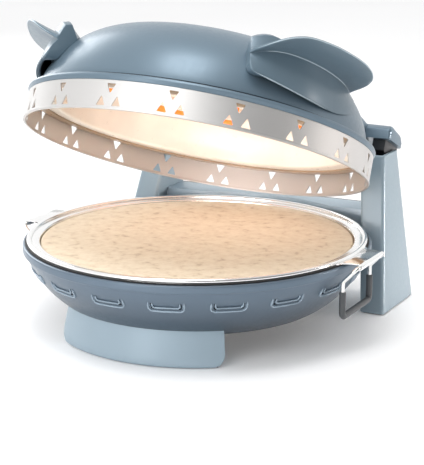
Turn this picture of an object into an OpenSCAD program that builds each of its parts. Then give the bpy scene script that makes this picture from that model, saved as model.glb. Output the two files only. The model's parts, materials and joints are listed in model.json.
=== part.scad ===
// Countertop electric pizza oven: a louvred bowl on a curved front foot and two
// rear columns, a stone in a lift-out tray with wire bails, and a domed lid that
// swings on hinge pins in the column tops. All lengths are in millimetres.
// Front is -Y, up is +Z. Pieces are modelled about the bowl's axis, then placed.

/* [Bowl] */
// Outer radius of the bowl's rim
rim_r = 175; // [165:1:190]
// Height of the top of the bowl's rim above the table
rim_z = 89; // [84:1:100]
// Height of the straight band below the rim
rim_band_h = 8; // [6:0.5:11]
// How far the belly starts inside the rim band
rim_step = 2.7; // [1.5:0.1:4]
// Width of the rim's flat top, under the gasket
rim_flat_w = 12; // [10:0.5:16]
// Sheet thickness of the bowl
bowl_wall = 1.5; // [1:0.1:2.5]
// Radius of the belly's arc
belly_r = 97; // [90:1:110]
// Height of the bowl's flat underside above the table
bowl_floor_z = 28; // [22:1:36]
// How far the service hole in the bowl's underside stays inside the rim
service_in = 85; // [80:1:110]
// Number of louvres round the belly
louvre_count = 18; // [9:1:20]
// Width of one louvre
louvre_w = 33; // [20:1:38]
// Height of one louvre
louvre_h = 8.5; // [6:0.5:12]
// Width of the cut that forms a louvre
louvre_cut = 2.2; // [1.2:0.1:3]
// Depth of one louvre's top below the rim
louvre_drop = 19; // [18:1:24]

/* [Gasket and stone tray] */
// Radial width of the gasket
gasket_w = 10.5; // [8:0.5:11.5]
// How much of the gasket lies under the tray's flange
tray_overlap = 5.5; // [2:0.5:7]
// Thickness of the gasket
gasket_t = 1.5; // [1:0.1:3]
// Width of the tray's flange
tray_flange_w = 10.7; // [8:0.1:12]
// Sheet thickness of the tray
tray_t = 1.2; // [0.8:0.1:2]
// Depth of the tray below the top of its flange
tray_depth = 15.9; // [13:0.1:18]
// Width of the ledge that carries the stone in the tray
tray_ledge = 30.8; // [18:0.1:50]
// Thickness of the pizza stone
stone_t = 13; // [10:0.5:15]
// Gap between the stone and the tray's wall
stone_gap = 0.7; // [0.3:0.1:0.9]
// Width of a tray tab along the rim
tab_w = 56; // [44:1:64]
// Reach of the bail axis beyond the tray's rim
tab_reach = 17.5; // [17:0.5:24]

/* [Bails] */
// Diameter of the bail wire
wire_d = 4; // [3:0.5:5]
// Running clearance of the bail in its rolled hem
hem_gap = 0.06; // [0.04:0.01:0.1]
// Wall of the rolled hem
hem_wall = 1.1; // [0.8:0.1:1.6]
// Radius of the wire's bends, at its centre line
bend_r = 5; // [4.5:0.5:7]
// Length of the bail's upper, slanted leg
leg_upper = 13; // [8:0.5:13.5]
// Angle by which the upper leg leans in, towards the bowl
leg_lean = 44; // [20:1:50]
// Length of the bail's lower, straight leg
leg_lower = 27.5; // [24:0.5:36]
// Length of the grip on each leg
grip_leg = 20; // [8:1:22]
// Wall of the bail's grip
grip_wall = 1.2; // [1:0.1:2.5]

/* [Heating] */
// Diameter of a heating element's tube
heater_d = 6.6; // [5:0.1:8]
// How far a heating element's ring stays inside the rim
heater_in = 67; // [65:1:77]
// Height of the lower element above the reflector's floor
heater_lift = 10; // [7:0.5:14]
// Sheet thickness of the reflector
reflector_t = 1.2; // [0.8:0.1:2]
// How far the reflector's floor stays inside the rim
reflector_in = 57; // [51:1:59]
// Depth of the reflector
reflector_depth = 22; // [18:1:26]
// Height of the upper element above the rim
upper_heater_rise = 62.5; // [54:0.5:66]

/* [Front foot] */
// How far the front foot's outer face stays inside the rim, at the table
foot_in = 29; // [19:1:37]
// Radial depth of the front foot
foot_depth = 30; // [20:1:40]
// Half of the angle that the front foot spans
foot_half_angle = 38.5; // [28:0.5:45]
// Lean of the front foot's outer face
foot_lean = 13; // [5:1:18]
// Radius of the front foot's corners
foot_corner_r = 5; // [3:0.5:8]
// Wall of the front foot
foot_wall = 3; // [2:0.5:5]
// Thickness of the rubber pads
pad_t = 2; // [1:0.5:4]

/* [Columns] */
// Height of a column above the table
column_h = 158; // [150:1:172]
// How far a column's outer side stays inside the rim's, at the table
column_in_bottom = 13; // [3:1:19]
// How far a column's outer side stays inside the rim's, at its top
column_in_top = 35; // [25:1:37]
// Width of a column
column_w = 27; // [25:0.5:32]
// Depth of a column's front face before the rim's rear, at the table
column_fore_bottom = 70; // [63:1:77]
// Depth of a column's front face before the rim's rear, at its top
column_fore_top = 23; // [19:1:29]
// Depth of a column's rear face behind the rim
column_back = 23; // [21:1:31]
// Wall of a column
column_wall = 3; // [2:0.5:4]
// Radius of a column's outer rear corner
column_rear_r = 11; // [6:1:13]
// Radius of a column's front corners
column_front_r = 4; // [3:0.5:6]

/* [Hinge] */
// Depth of the hinge axis behind the rim
hinge_back = 15; // [13:0.5:16]
// Drop of the hinge axis below a column's top
hinge_drop = 18; // [16:0.5:22]
// Angle at which the lid is modelled open
lid_open = 24; // [0:1:60]
// Diameter of a hinge pin
pin_d = 8; // [6:0.5:10]
// Radial running clearance on a hinge pin
pin_gap = 0.05; // [0.02:0.01:0.09]
// Radius of the hinge knuckle round the pin
knuckle_r = 9; // [8:0.5:10]
// Width of the hinge knuckle
knuckle_w = 14; // [10:0.5:14]
// Thickness of the friction washer beside the knuckle
washer_t = 1.5; // [1:0.1:2.5]
// Clearance on each side of the knuckle
knuckle_gap = 0.3; // [0.2:0.05:0.6]
// Clearance of the hinge cap over the column's rear corner
cap_gap = 1; // [0.5:0.1:2.5]
// Height of the hinge cap
cap_h = 16; // [12:0.5:20]
// Width of the lid arm beside the hinge cap
arm_w = 14; // [10:0.5:16]
// Height of the lid arm where it meets the dome
arm_h = 30; // [20:1:34]

/* [Rear bridge] */
// Depth of the bridge's top below the rim
bridge_rise = 8; // [4:1:12]
// Height of the bridge's underside above the table
bridge_floor_z = 34; // [26:1:44]
// Depth of the bridge's front face before the rim's rear
bridge_fore = 17; // [11:1:25]
// Wall of the bridge
bridge_wall = 2.5; // [2:0.5:4]
// Radius of the cord gland
gland_r = 9; // [7:0.5:12]

/* [Lid] */
// Gap between the closed lid and the rim
lid_gap = 3.6; // [3.3:0.1:6]
// How far the lid's band stays inside the rim
band_in = 1.6; // [0:0.1:3]
// Height of the lid's band
band_h = 27.5; // [25:0.5:32]
// Sheet thickness of the lid's band
band_t = 1.2; // [0.8:0.1:2]
// Number of hole clusters round the band
cluster_count = 18; // [9:1:20]
// Width of a triangular hole
tri_w = 9.5; // [6:0.5:10.5]
// Height of a triangular hole
tri_h = 9.5; // [6:0.5:10]
// Distance between the lower two holes of a cluster
tri_pitch = 16.5; // [13:0.5:20]
// Height of the dome's lip above the band
lip_h = 6; // [4:0.5:8]
// Height of the groove above the lip
groove_h = 2; // [1:0.5:3]
// Radius of the dome's shoulder arc
shoulder_r = 89.5; // [86:0.5:93]
// Height of the shoulder arc's centre above the rim
shoulder_rise = 22.4; // [18:0.1:26]
// How far the dome's foot stands inside the band
dome_step = 8; // [7:0.1:10]
// Radius of the dome's crown
crown_r = 536; // [450:1:700]
// Wall of the dome
dome_wall = 1.8; // [1.2:0.1:3]
// Space between the dome and the liner
liner_space = 16; // [12:1:20]
// Wall of the liner
liner_t = 1.2; // [0.8:0.1:2]

/* [Wing handles] */
// Angle of a wing's front end from the front of the lid
wing_start = 38.5; // [34:0.5:46]
// Angle that a wing spans
wing_sweep = 55; // [48:1:60]
// Reach of a wing's crease beyond the dome
wing_crease_out = 21; // [16:0.5:23]
// Reach of a wing's tip beyond the band
wing_tip_out = 15.6; // [3:0.1:22]
// Thickness of a wing's blades
blade_t = 4; // [3:0.5:5]
// Depth of the finger gap between a wing's lower blade and the dome
finger_gap = 9; // [6:0.5:12]

/* [Controls] */
// Radius of the thermostat knob
knob_r = 15; // [12:0.5:18]
// Length of the thermostat knob
knob_l = 13; // [9:0.5:18]
// Height of the knob's axis on the column
knob_z = 62; // [50:1:74]
// Radius of the thermostat's shaft
shaft_r = 3; // [2:0.5:4]
// Radius of the indicator lens
lens_r = 4; // [3:0.5:6]

/* [Fasteners] */
// Diameter of the screws
screw_d = 4; // [3:0.5:5]
// Radial clearance of a screw in its hole
screw_gap = 0.05; // [0.02:0.01:0.2]
// Clearance between pieces that nest
fit_gap = 0.15; // [0.1:0.05:0.3]

/* [Hidden] */
$fn = 96;

tiny = 0.01;              // overlap that keeps cuts from ending on a face
hull_fn = 28;             // facets of a hull's round children
corner_steps = 6;         // facets of a column's rounded corner

paint = "#8fa3b3";
paint_light = "#a9bac5";
black = "#1d1f22";
steel = "#d5d8da";
cream = "#ece3cf";

// Places tied to the rim
service_r = rim_r - service_in;
heater_r = rim_r - heater_in;
reflector_r = rim_r - reflector_in;
foot_r = rim_r - foot_in;
column_out_bottom = rim_r - column_in_bottom;
column_out_top = rim_r - column_in_top;
column_front_bottom = rim_r - column_fore_bottom;
column_front_top = rim_r - column_fore_top;
column_rear = rim_r + column_back;
hinge_y = rim_r + hinge_back;
bridge_front = rim_r - bridge_fore;
band_r = rim_r - band_in;
wing_tip_r = band_r + wing_tip_out;

// Levels of the bowl, gasket and tray
band_low_z = rim_z - rim_band_h;
gasket_z = rim_z;
tray_seat_z = gasket_z + gasket_t;
tray_top_z = tray_seat_z + tray_t;
tray_floor_z = tray_top_z - tray_depth;
gasket_r = rim_r - 0.5;
tray_r = gasket_r - gasket_w + tray_overlap;
tray_wall_r = tray_r - tray_flange_w;
stone_r = tray_wall_r - tray_t - stone_gap;
tray_hole_r = tray_wall_r - tray_ledge;

// Belly arc: it starts under the rim band and ends at the flat underside
belly_start_z = band_low_z;
belly_cz = bowl_floor_z + 85;
belly_cx = rim_r - rim_step - sqrt(belly_r * belly_r - pow(belly_cz - belly_start_z, 2));

// Reflector and insulation
reflector_top_z = tray_floor_z - 3;
reflector_floor_z = reflector_top_z - reflector_depth;
reflector_flange_r = belly_radius(reflector_top_z - reflector_t, bowl_wall) - fit_gap;
lower_heater_z = reflector_floor_z + heater_lift;
leg_angle = 10;           // half of the angle left open between an element's two ends

// Lid levels, measured with the lid closed
band_z = rim_z + lid_gap;
band_top_z = band_z + band_h;
lip_top_z = band_top_z + lip_h;
dome_base_z = lip_top_z + groove_h;
shoulder_cz = rim_z + shoulder_rise;
dome_foot_r = band_r - dome_step;
shoulder_cx = dome_foot_r - sqrt(shoulder_r * shoulder_r - pow(shoulder_cz - dome_base_z, 2));
crown_sin = shoulder_cx / (crown_r - shoulder_r);
crown_cz = shoulder_cz - (crown_r - shoulder_r) * sqrt(1 - crown_sin * crown_sin);
liner_in = dome_wall + liner_space;
upper_heater_z = rim_z + upper_heater_rise;

// Hinge and columns
hinge_z = column_h - hinge_drop;
column_corner = norm([column_rear - hinge_y, hinge_drop]);
cap_z = hinge_z + column_corner + cap_gap;
column_out_slope = (column_out_bottom - column_out_top) / column_h;
column_front_slope = (column_front_top - column_front_bottom) / column_h;
pin_mid = column_out(hinge_z) - column_w / 2;
knuckle_in = pin_mid - (knuckle_w + washer_t) / 2;
cap_in = column_out(column_h) - column_w + 0.5;
cap_out = column_out(column_h) + 1;
arm_out = cap_in - 1;
arm_in = arm_out - arm_w;
face_tilt = atan(column_out_slope);

// Row origin: middle of the footprint, front rim to rear hinge cap
cap_rear = column_rear;
rear_reach = hinge_y + (cap_rear - hinge_y) * cos(lid_open)
    + (cap_z + 0.42 * cap_h - hinge_z) * sin(lid_open);
mid_y = (rear_reach - rim_r) / 2;

// Outer side and front face of the right-hand column at a height
function column_out(z) = column_out_bottom - (column_out_bottom - column_out_top) * z / column_h;
function column_front(z) =
    column_front_bottom + (column_front_top - column_front_bottom) * z / column_h;

// Radius of the belly and of the dome at a height, set in by a wall
function belly_radius(z, inset = 0) =
    belly_cx + sqrt(pow(belly_r - inset, 2) - pow(belly_cz - z, 2));
function dome_radius(z) = shoulder_cx + sqrt(pow(shoulder_r, 2) - pow(z - shoulder_cz, 2));

// ---------------------------------------------------------------- placing
module placed() {
    translate([0, -mid_y, 0]) children();
}

module opened() {
    placed() translate([0, hinge_y, hinge_z]) rotate([-lid_open, 0, 0])
        translate([0, -hinge_y, -hinge_z]) children();
}

module both_sides() {
    children();
    mirror([1, 0, 0]) children();
}

// ---------------------------------------------------------------- outlines
// Half section of the bowl's outside, set in by a wall thickness
module bowl_outline(inset = 0) {
    intersection() {
        translate([0, bowl_floor_z + inset]) square([rim_r, band_low_z - bowl_floor_z + tiny]);
        union() {
            translate([belly_cx, belly_cz]) circle(r = belly_r - inset, $fn = 180);
            square([belly_cx, rim_z]);
        }
    }
    translate([0, band_low_z + inset]) square([rim_r - inset, rim_band_h - 2 * inset]);
}

// Half section of the dome's outside, set in by a wall thickness
module dome_outline(inset = 0, low_z = dome_base_z) {
    intersection() {
        translate([0, crown_cz]) circle(r = crown_r - inset, $fn = 360);
        translate([0, low_z]) square(2 * rim_r);
        union() {
            translate([shoulder_cx, shoulder_cz]) circle(r = shoulder_r - inset, $fn = 180);
            translate([0, low_z]) square([shoulder_cx + (shoulder_r - inset) * crown_sin, 2 * rim_r]);
        }
    }
}

// Ring with a rectangular section
module ring(r_in, r_out, z, h) {
    rotate_extrude() translate([r_in, z]) square([r_out - r_in, h]);
}

// ---------------------------------------------------------------- bowl
// U-shaped cut that frees one louvre tongue, facing +X
module louvre() {
    r = belly_radius(rim_z - louvre_drop - louvre_h / 2);
    translate([r, 0, rim_z - louvre_drop - louvre_h])
        rotate([90, 0, 90]) translate([0, 0, -12]) linear_extrude(20) difference() {
            translate([-louvre_w / 2, 0]) square([louvre_w, louvre_h]);
            translate([-louvre_w / 2 + louvre_cut, louvre_cut])
                square([louvre_w - 2 * louvre_cut, louvre_h]);
        }
}

module base_bowl() {
    color(paint) placed() difference() {
        rotate_extrude() difference() {
            bowl_outline();
            bowl_outline(bowl_wall);
            translate([0, band_low_z]) square([rim_r - rim_flat_w, rim_band_h + 1]);
        }
        translate([0, 0, bowl_floor_z - 1]) cylinder(r = service_r, h = bowl_wall + 2);
        for (i = [0:louvre_count - 1]) rotate(-92 + i * 360 / louvre_count) louvre();
        bottom_screw_places() cylinder(d = screw_d + 2 * screw_gap, h = 20, center = true);
        foot_screw_places() cylinder(d = screw_d + 2 * screw_gap, h = 30, center = true);
    }
}

module rim_gasket() {
    color(black) placed() ring(gasket_r - gasket_w, gasket_r, gasket_z, gasket_t);
}

// ---------------------------------------------------------------- lower heating
module lower_reflector() {
    t = reflector_t;
    lift = reflector_top_z;
    slope_r = reflector_r + reflector_depth * 1.4;
    color(steel) placed() difference() {
        rotate_extrude() polygon([
            [0, reflector_floor_z - t], [reflector_r, reflector_floor_z - t],
            [slope_r, lift - t], [reflector_flange_r, lift - t], [reflector_flange_r, lift],
            [slope_r - t, lift], [reflector_r - t, reflector_floor_z], [0, reflector_floor_z]]);
        element_leg_places() cylinder(d = heater_d + 1, h = 4 * reflector_depth, center = true);
    }
}

// The two ends of a heating element, at its own ring's height
module element_leg_places() {
    for (side = [-1, 1]) rotate(90 + side * leg_angle)
        translate([heater_r, 0, lower_heater_z]) children();
}

// Ring-shaped tube, open at the rear, whose ends turn down (dir -1) or up (dir 1)
module heating_element(z, leg, dir) {
    rotate(90 + leg_angle) rotate_extrude(angle = 360 - 2 * leg_angle, $fn = 120)
        translate([heater_r, z]) circle(d = heater_d, $fn = 32);
    for (side = [-1, 1]) rotate(90 + side * leg_angle) translate([heater_r, 0, z]) {
        sphere(d = heater_d, $fn = 32);
        mirror([0, 0, dir < 0 ? 1 : 0]) cylinder(d = heater_d, h = leg, $fn = 32);
    }
}

module lower_heater() {
    color("#6b6a68") placed()
        heating_element(lower_heater_z, lower_heater_z - bowl_floor_z - bowl_wall - 3, -1);
}

module lower_heater_supports() {
    seat = heater_lift - heater_d / 2;
    color(steel) placed() for (a = [-90, 30, 150]) rotate(a) translate([heater_r, 0, reflector_floor_z])
        difference() {
            cylinder(d = heater_d + 3, h = seat + 2);
            translate([0, 0, seat + heater_d / 2]) rotate([90, 0, 0])
                cylinder(d = heater_d + 0.6, h = 20, center = true);
        }
}

module base_insulation() {
    low = bowl_floor_z + bowl_wall;
    color("#c9c2b2") placed() difference() {
        translate([0, 0, low]) cylinder(r = reflector_r - 4, h = reflector_floor_z - reflector_t - low);
        element_leg_places() cylinder(d = heater_d + 1, h = 4 * reflector_depth, center = true);
    }
}

// ---------------------------------------------------------------- underside
bottom_cover_r = service_r + 14;
bottom_cover_t = 2;
bottom_screw_r = service_r + 7;

module bottom_screw_places() {
    for (i = [0:5]) rotate(30 + i * 60) translate([bottom_screw_r, 0, bowl_floor_z]) children();
}

module bottom_cover() {
    color(black) placed() difference() {
        translate([0, 0, bowl_floor_z - bottom_cover_t]) cylinder(r = bottom_cover_r, h = bottom_cover_t);
        bottom_screw_places() cylinder(d = screw_d + 2 * screw_gap, h = 20, center = true);
        for (x = [-40:10:40]) translate([x, 0, bowl_floor_z]) cube([4, 60, 20], center = true);
    }
}

// Pan-head screw whose head's underside is at the origin, shank towards +Z
module screw(shank) {
    cylinder(d = screw_d, h = shank, $fn = 32);
    translate([0, 0, -0.55 * screw_d]) cylinder(d = 1.9 * screw_d, h = 0.55 * screw_d, $fn = 32);
}

module bottom_screws() {
    color(steel) placed() bottom_screw_places()
        translate([0, 0, -bottom_cover_t]) screw(bottom_cover_t + bowl_wall);
}

// ---------------------------------------------------------------- front foot
foot_in_r = foot_r - foot_depth;
foot_top_z = bowl_floor_z + 12;
foot_lean_in = (foot_top_z - pad_t) * tan(foot_lean);
foot_screw_r = belly_radius(bowl_floor_z) - 6.5;

// Part of a ring between two angles either side of the front
module ring_sector(r_in, r_out, half_angle) {
    intersection() {
        difference() {
            circle(r = r_out, $fn = 240);
            circle(r = r_in, $fn = 240);
        }
        polygon(concat([[0, 0]], [for (a = [-1, -0.5, 0, 0.5, 1])
            2 * r_out * [sin(a * half_angle), -cos(a * half_angle)]]));
    }
}

// Plan of the front foot: a ring sector with rounded corners, set in all round
module foot_plan(inset = 0) {
    c = foot_corner_r;
    r_out = foot_r - inset;
    r_in = foot_in_r + inset;
    edge = foot_half_angle - asin(inset / foot_r);
    turn_in = asin(c / (r_in + c));
    turn_out = asin(c / (r_out - c));
    ring_sector(r_in, r_in + c + tiny, edge - turn_in);
    ring_sector(r_in + c, r_out - c, edge);
    ring_sector(r_out - c - tiny, r_out, edge - turn_out);
    for (side = [-1, 1]) {
        rotate(side * (edge - turn_in)) translate([0, -r_in - c]) circle(r = c);
        rotate(side * (edge - turn_out)) translate([0, -r_out + c]) circle(r = c);
    }
}

module foot_body(inset = 0) {
    intersection() {
        translate([0, 0, pad_t]) linear_extrude(foot_top_z - pad_t) foot_plan(inset);
        rotate_extrude($fn = 240) polygon([[foot_in_r / 2, pad_t], [foot_r - inset, pad_t],
            [foot_r - inset - foot_lean_in, foot_top_z], [foot_in_r / 2, foot_top_z]]);
    }
}

module foot_screw_places() {
    for (a = [-24, 0, 24]) rotate(a) translate([0, -foot_screw_r, bowl_floor_z]) children();
}

module front_foot() {
    color(paint_light) placed() difference() {
        foot_body();
        rotate_extrude($fn = 240) bowl_outline(-fit_gap);
        difference() {
            translate([0, 0, -foot_wall]) foot_body(foot_wall);
            rotate_extrude($fn = 240) bowl_outline(-foot_wall);
            foot_screw_places() cylinder(d = screw_d + 6, h = 60, center = true);
        }
        foot_screw_places() cylinder(d = screw_d + 2 * screw_gap, h = 60, center = true);
    }
}

module foot_screws() {
    head_z = bowl_floor_z + bowl_wall;
    color(steel) placed() foot_screw_places()
        translate([0, 0, head_z - bowl_floor_z]) mirror([0, 0, 1]) screw(bowl_wall + 12);
}

module foot_pads() {
    color(black) placed() {
        linear_extrude(pad_t) foot_plan(1);
        both_sides() column_solid(column_wall / 2, 0, pad_t);
    }
}

// ---------------------------------------------------------------- columns
// Plan of the right-hand column at a height, set in, as a list of points
function column_ring(z, inset) =
    let(out = column_out(z), front = column_front(z), f = column_front_r, r = column_rear_r,
        corners = [[out - r, column_rear - r, r, 0], [out - column_w + f, column_rear - f, f, 90],
            [out - column_w + f, front + f, f, 180], [out - f, front + f, f, 270]])
    [for (c = corners, k = [0:corner_steps])
        let(a = c[3] + 90 * k / corner_steps, rad = max(c[2] - inset, 0.5))
        [c[0] + rad * cos(a), c[1] + rad * sin(a), z]];

// Solid of the right-hand column, set in by an inset, between two heights
module column_solid(inset = 0, low = pad_t, high = column_h) {
    levels = inset < 1 && low < 4 ? [[low, inset + 1.5], [low + 4, inset], [high, inset]]
        : [[low, inset], [high, inset]];
    n = 4 * (corner_steps + 1);
    m = len(levels);
    polyhedron(points = [for (l = levels) each column_ring(l[0], l[1])],
        faces = concat([[for (k = [0:n - 1]) k]], [[for (k = [n - 1:-1:0]) (m - 1) * n + k]],
            [for (i = [0:m - 2], k = [0:n - 1]) let(j = (k + 1) % n)
                [i * n + k, (i + 1) * n + k, (i + 1) * n + j, i * n + j]]), convexity = 2);
}

// Slot that the hinge knuckle swings in, open to the top and the rear
module knuckle_slot(reach = knuckle_r + 1) {
    translate([knuckle_in - knuckle_gap, hinge_y - reach, hinge_z - knuckle_r - 1])
        cube([knuckle_w + washer_t + 2 * knuckle_gap, reach + 50, 60]);
}

// Blind bore for a hinge pin, from the column's inner face
module pin_bore(gap) {
    translate([pin_mid - column_w, hinge_y, hinge_z]) rotate([0, 90, 0])
        cylinder(d = pin_d + 2 * gap, h = 1.5 * column_w - column_wall - 0.8);
}

module column_shell() {
    difference() {
        column_solid();
        column_solid(column_wall, -1, column_h + 1);
        knuckle_slot();
        pin_bore(pin_gap);
    }
}

module right_column() {
    color(paint) placed() column_shell();
}

module left_column() {
    color(paint) placed() difference() {
        mirror([1, 0, 0]) column_shell();
        on_control_face(knob_z) cylinder(r = shaft_r + 0.6, h = 30, center = true);
        on_control_face(knob_z + 40) cylinder(r = lens_r + screw_gap, h = 30, center = true);
    }
}

module column_base_plates() {
    color(black) placed() both_sides() column_solid(column_wall + fit_gap, pad_t, pad_t + 3);
}

// Saddles that join the bowl's belly to the columns
module bowl_brackets() {
    low = rim_z - 26;
    high = band_low_z - 1;
    color(black) placed() both_sides() difference() {
        translate([column_out(high) - column_w - 8, column_front(high) - 18, low]) cube([18, 26, high - low]);
        rotate_extrude() bowl_outline(-fit_gap);
        column_solid(-fit_gap);
    }
}

// ---------------------------------------------------------------- rear bridge
bridge_top_z = rim_z + bridge_rise;
bridge_rear = column_rear - 3;
cover_t = 2.5;

// Block between the two columns' inner faces
module bridge_block(inset, front, rear) {
    low = bridge_floor_z + inset;
    high = bridge_top_z - inset;
    side_low = column_out(low) - column_w - fit_gap - inset;
    side_high = column_out(high) - column_w - fit_gap - inset;
    translate([0, rear, 0]) rotate([90, 0, 0]) linear_extrude(rear - front)
        polygon([[-side_low, low], [side_low, low], [side_high, high], [-side_high, high]]);
}

module bridge_clearance(gap) {
    cylinder(r = rim_r + gap, h = 2 * bridge_top_z);
}

rear_screw_z = bridge_top_z - bridge_wall - 3;
gland_x = 60;
cord_r = 3.6;
gland_z = bridge_floor_z + 24;

// Screws of the rear cover, +Z forwards from the cover's outer face
module rear_screw_places() {
    for (x = [-90, -30, 30, 90]) translate([x, bridge_rear, rear_screw_z]) rotate([90, 0, 0]) children();
}

module rear_bridge() {
    w = bridge_wall;
    color(paint_light) placed() difference() {
        union() {
            difference() {
                bridge_block(0, bridge_front, bridge_rear - cover_t);
                bridge_clearance(fit_gap + 0.15);
                difference() {
                    bridge_block(w, bridge_front + w, bridge_rear + 1);
                    bridge_clearance(w + 1);
                }
            }
            rear_screw_places() translate([0, 0, cover_t]) cylinder(r = screw_d, h = 9);
        }
        rear_screw_places() cylinder(d = screw_d + 2 * screw_gap, h = 22, center = true);
    }
}

module rear_cover() {
    color(black) placed() difference() {
        bridge_block(0, bridge_rear - cover_t, bridge_rear);
        rear_screw_places() cylinder(d = screw_d + 2 * screw_gap, h = 22, center = true);
        translate([gland_x, bridge_rear, gland_z]) rotate([90, 0, 0])
            cylinder(r = gland_r + screw_gap, h = 20, center = true);
        for (x = [-90:9:-36]) translate([x, bridge_rear, gland_z]) cube([4, 20, 26], center = true);
    }
}

module rear_cover_screws() {
    color(steel) placed() rear_screw_places() screw(cover_t + 8);
}

module cord_gland() {
    color(black) placed() translate([gland_x, bridge_rear, gland_z]) rotate([90, 0, 0]) difference() {
        union() {
            translate([0, 0, -3]) cylinder(r = gland_r + 2.5, h = 3);
            cylinder(r = gland_r, h = cover_t);
            translate([0, 0, cover_t]) cylinder(r = gland_r + 1.5, h = 2.5);
        }
        cylinder(r = cord_r, h = 40, center = true);
    }
}

module terminal_block() {
    low = bridge_floor_z + bridge_wall;
    color("#e8e4da") placed() difference() {
        translate([-22, bridge_rear - cover_t - 12, low]) cube([44, 10, 12]);
        for (i = [0:3]) translate([-16.5 + i * 11, bridge_rear - cover_t - 7, low + 6]) cylinder(d = 4, h = 20);
    }
}

module thermal_fuse() {
    z = reflector_top_z - reflector_t;
    color("#b9a13c") placed() rotate(90) translate([reflector_flange_r - 11.5, 0, z - 9])
        cylinder(r = 4.5, h = 9);
}

// ---------------------------------------------------------------- controls
// Frame on the left column's outer face: origin on the face, +Z outwards
module on_control_face(z) {
    y = (column_front(z) + column_rear) / 2;
    translate([-column_out(z), y, z]) rotate([0, -90 + face_tilt, 0]) children();
}

module thermostat() {
    color("#9a9da1") placed() on_control_face(knob_z) difference() {
        translate([-13, -12, -column_wall - 15.2]) cube([26, 24, 15]);
        translate([0, 0, -column_wall - 9]) cylinder(r = shaft_r + pin_gap, h = 20);
    }
}

module control_knob() {
    grip_count = 24;
    color(black) placed() on_control_face(knob_z) {
        translate([0, 0, -column_wall - 8]) cylinder(r = shaft_r, h = column_wall + 9, $fn = 32);
        translate([0, 0, 0.5]) difference() {
            cylinder(r = knob_r, h = knob_l);
            for (i = [0:grip_count - 1]) rotate(i * 360 / grip_count) translate([knob_r + 0.6, 0, 2])
                cylinder(r = 1.2, h = knob_l, $fn = 24);
            translate([-0.8, 4, knob_l - 1]) cube([1.6, knob_r, 2]);
        }
    }
}

module indicator_lens() {
    color("#d8462a") placed() on_control_face(knob_z + 40) {
        translate([0, 0, -column_wall]) cylinder(r = lens_r, h = column_wall);
        intersection() {
            translate([0, 0, -2 * lens_r]) sphere(r = 3 * lens_r);
            cylinder(r = lens_r + 1.2, h = lens_r);
        }
    }
}

// ---------------------------------------------------------------- hinge, fixed half
module hinge_block() {
    difference() {
        column_solid(column_wall + fit_gap, hinge_z - knuckle_r - 8, column_h - 1);
        knuckle_slot(column_w * 3);
        pin_bore(pin_gap);
    }
}

module right_hinge_block() {
    color(black) placed() hinge_block();
}

module left_hinge_block() {
    color(black) placed() mirror([1, 0, 0]) hinge_block();
}

module hinge_pins() {
    inner = column_out(hinge_z) - column_w + 1;
    color(steel) placed() both_sides() translate([inner, hinge_y, hinge_z]) rotate([0, 90, 0])
        difference() {
            cylinder(d = pin_d, h = column_w - column_wall - 2.5);
            cube([1, pin_d + 1, 2], center = true);
        }
}

module hinge_washers() {
    color("#b08d4a") placed() both_sides()
        translate([knuckle_in + knuckle_w + knuckle_gap, hinge_y, hinge_z]) rotate([0, 90, 0]) difference() {
            cylinder(r = knuckle_r - 1, h = washer_t - knuckle_gap);
            cylinder(d = pin_d + 2 * pin_gap, h = 10, center = true);
        }
}

// ---------------------------------------------------------------- stone tray
bail_x = tray_r + tab_reach;
hem_r = wire_d / 2 + hem_gap + hem_wall;
bail_z = tray_top_z - hem_r;
bail_half = tab_w / 2 + 1;

module stone_tray() {
    color(steel) placed() difference() {
        union() {
            ring(tray_wall_r - tray_t, tray_r, tray_seat_z, tray_t);
            ring(tray_wall_r - tray_t, tray_wall_r, tray_floor_z, tray_depth);
            ring(tray_hole_r, tray_wall_r, tray_floor_z, tray_t);
            both_sides() {
                translate([tray_r - 3, -tab_w / 2, tray_seat_z]) cube([bail_x - tray_r + 3, tab_w, tray_t]);
                translate([bail_x, 0, bail_z]) rotate([90, 0, 0]) cylinder(r = hem_r, h = tab_w, center = true);
            }
        }
        both_sides() translate([bail_x, 0, bail_z]) rotate([90, 0, 0])
            cylinder(d = wire_d + 2 * hem_gap, h = tab_w + 2, center = true);
    }
}

module pizza_stone() {
    color(cream) placed() translate([0, 0, tray_floor_z + tray_t]) cylinder(r = stone_r, h = stone_t, $fn = 180);
}

// Straight stretch of rod along +Z, whose children start at its end
module rod(r, length) {
    cylinder(r = r, h = length, $fn = 32);
    translate([0, 0, length]) children();
}

// Bend of a rod from +Z towards the direction at an angle round it
module elbow(r, angle, towards = 0) {
    rotate([0, 0, towards]) {
        translate([bend_r, 0, 0]) rotate([90, 0, 0]) rotate([0, 0, 180 - angle])
            rotate_extrude(angle = angle, $fn = 96) translate([bend_r, 0]) circle(r = r, $fn = 32);
        translate([bend_r * (1 - cos(angle)), 0, bend_r * sin(angle)]) rotate([0, angle, 0]) children();
    }
}

// Bend of the wire's centre line at p from direction t0 to t1, as [point, direction] pairs
function wire_bend(p, t0, t1, angle, n) =
    let(side = (t1 - cos(angle) * t0) / sin(angle))
    [for (i = [0:n]) let(a = angle * i / n)
        [p + bend_r * (sin(a) * t0 + (1 - cos(a)) * side), cos(a) * t0 + sin(a) * side]];

// Centre line of the bail's half with y > 0, from the top bar to the lower bar
lean_dir = [-sin(leg_lean), 0, -cos(leg_lean)];
bail_top_bend = wire_bend([bail_x, bail_half, bail_z], [0, 1, 0], lean_dir, 90, 6);
bail_kink = wire_bend(bail_top_bend[6][0] + leg_upper * lean_dir, lean_dir, [0, 0, -1], leg_lean, 3);
bail_low_bend = wire_bend(bail_kink[3][0] + [0, 0, -leg_lower], [0, 0, -1], [0, -1, 0], 90, 8);
bail_side = concat(bail_top_bend, bail_kink, bail_low_bend);

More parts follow.
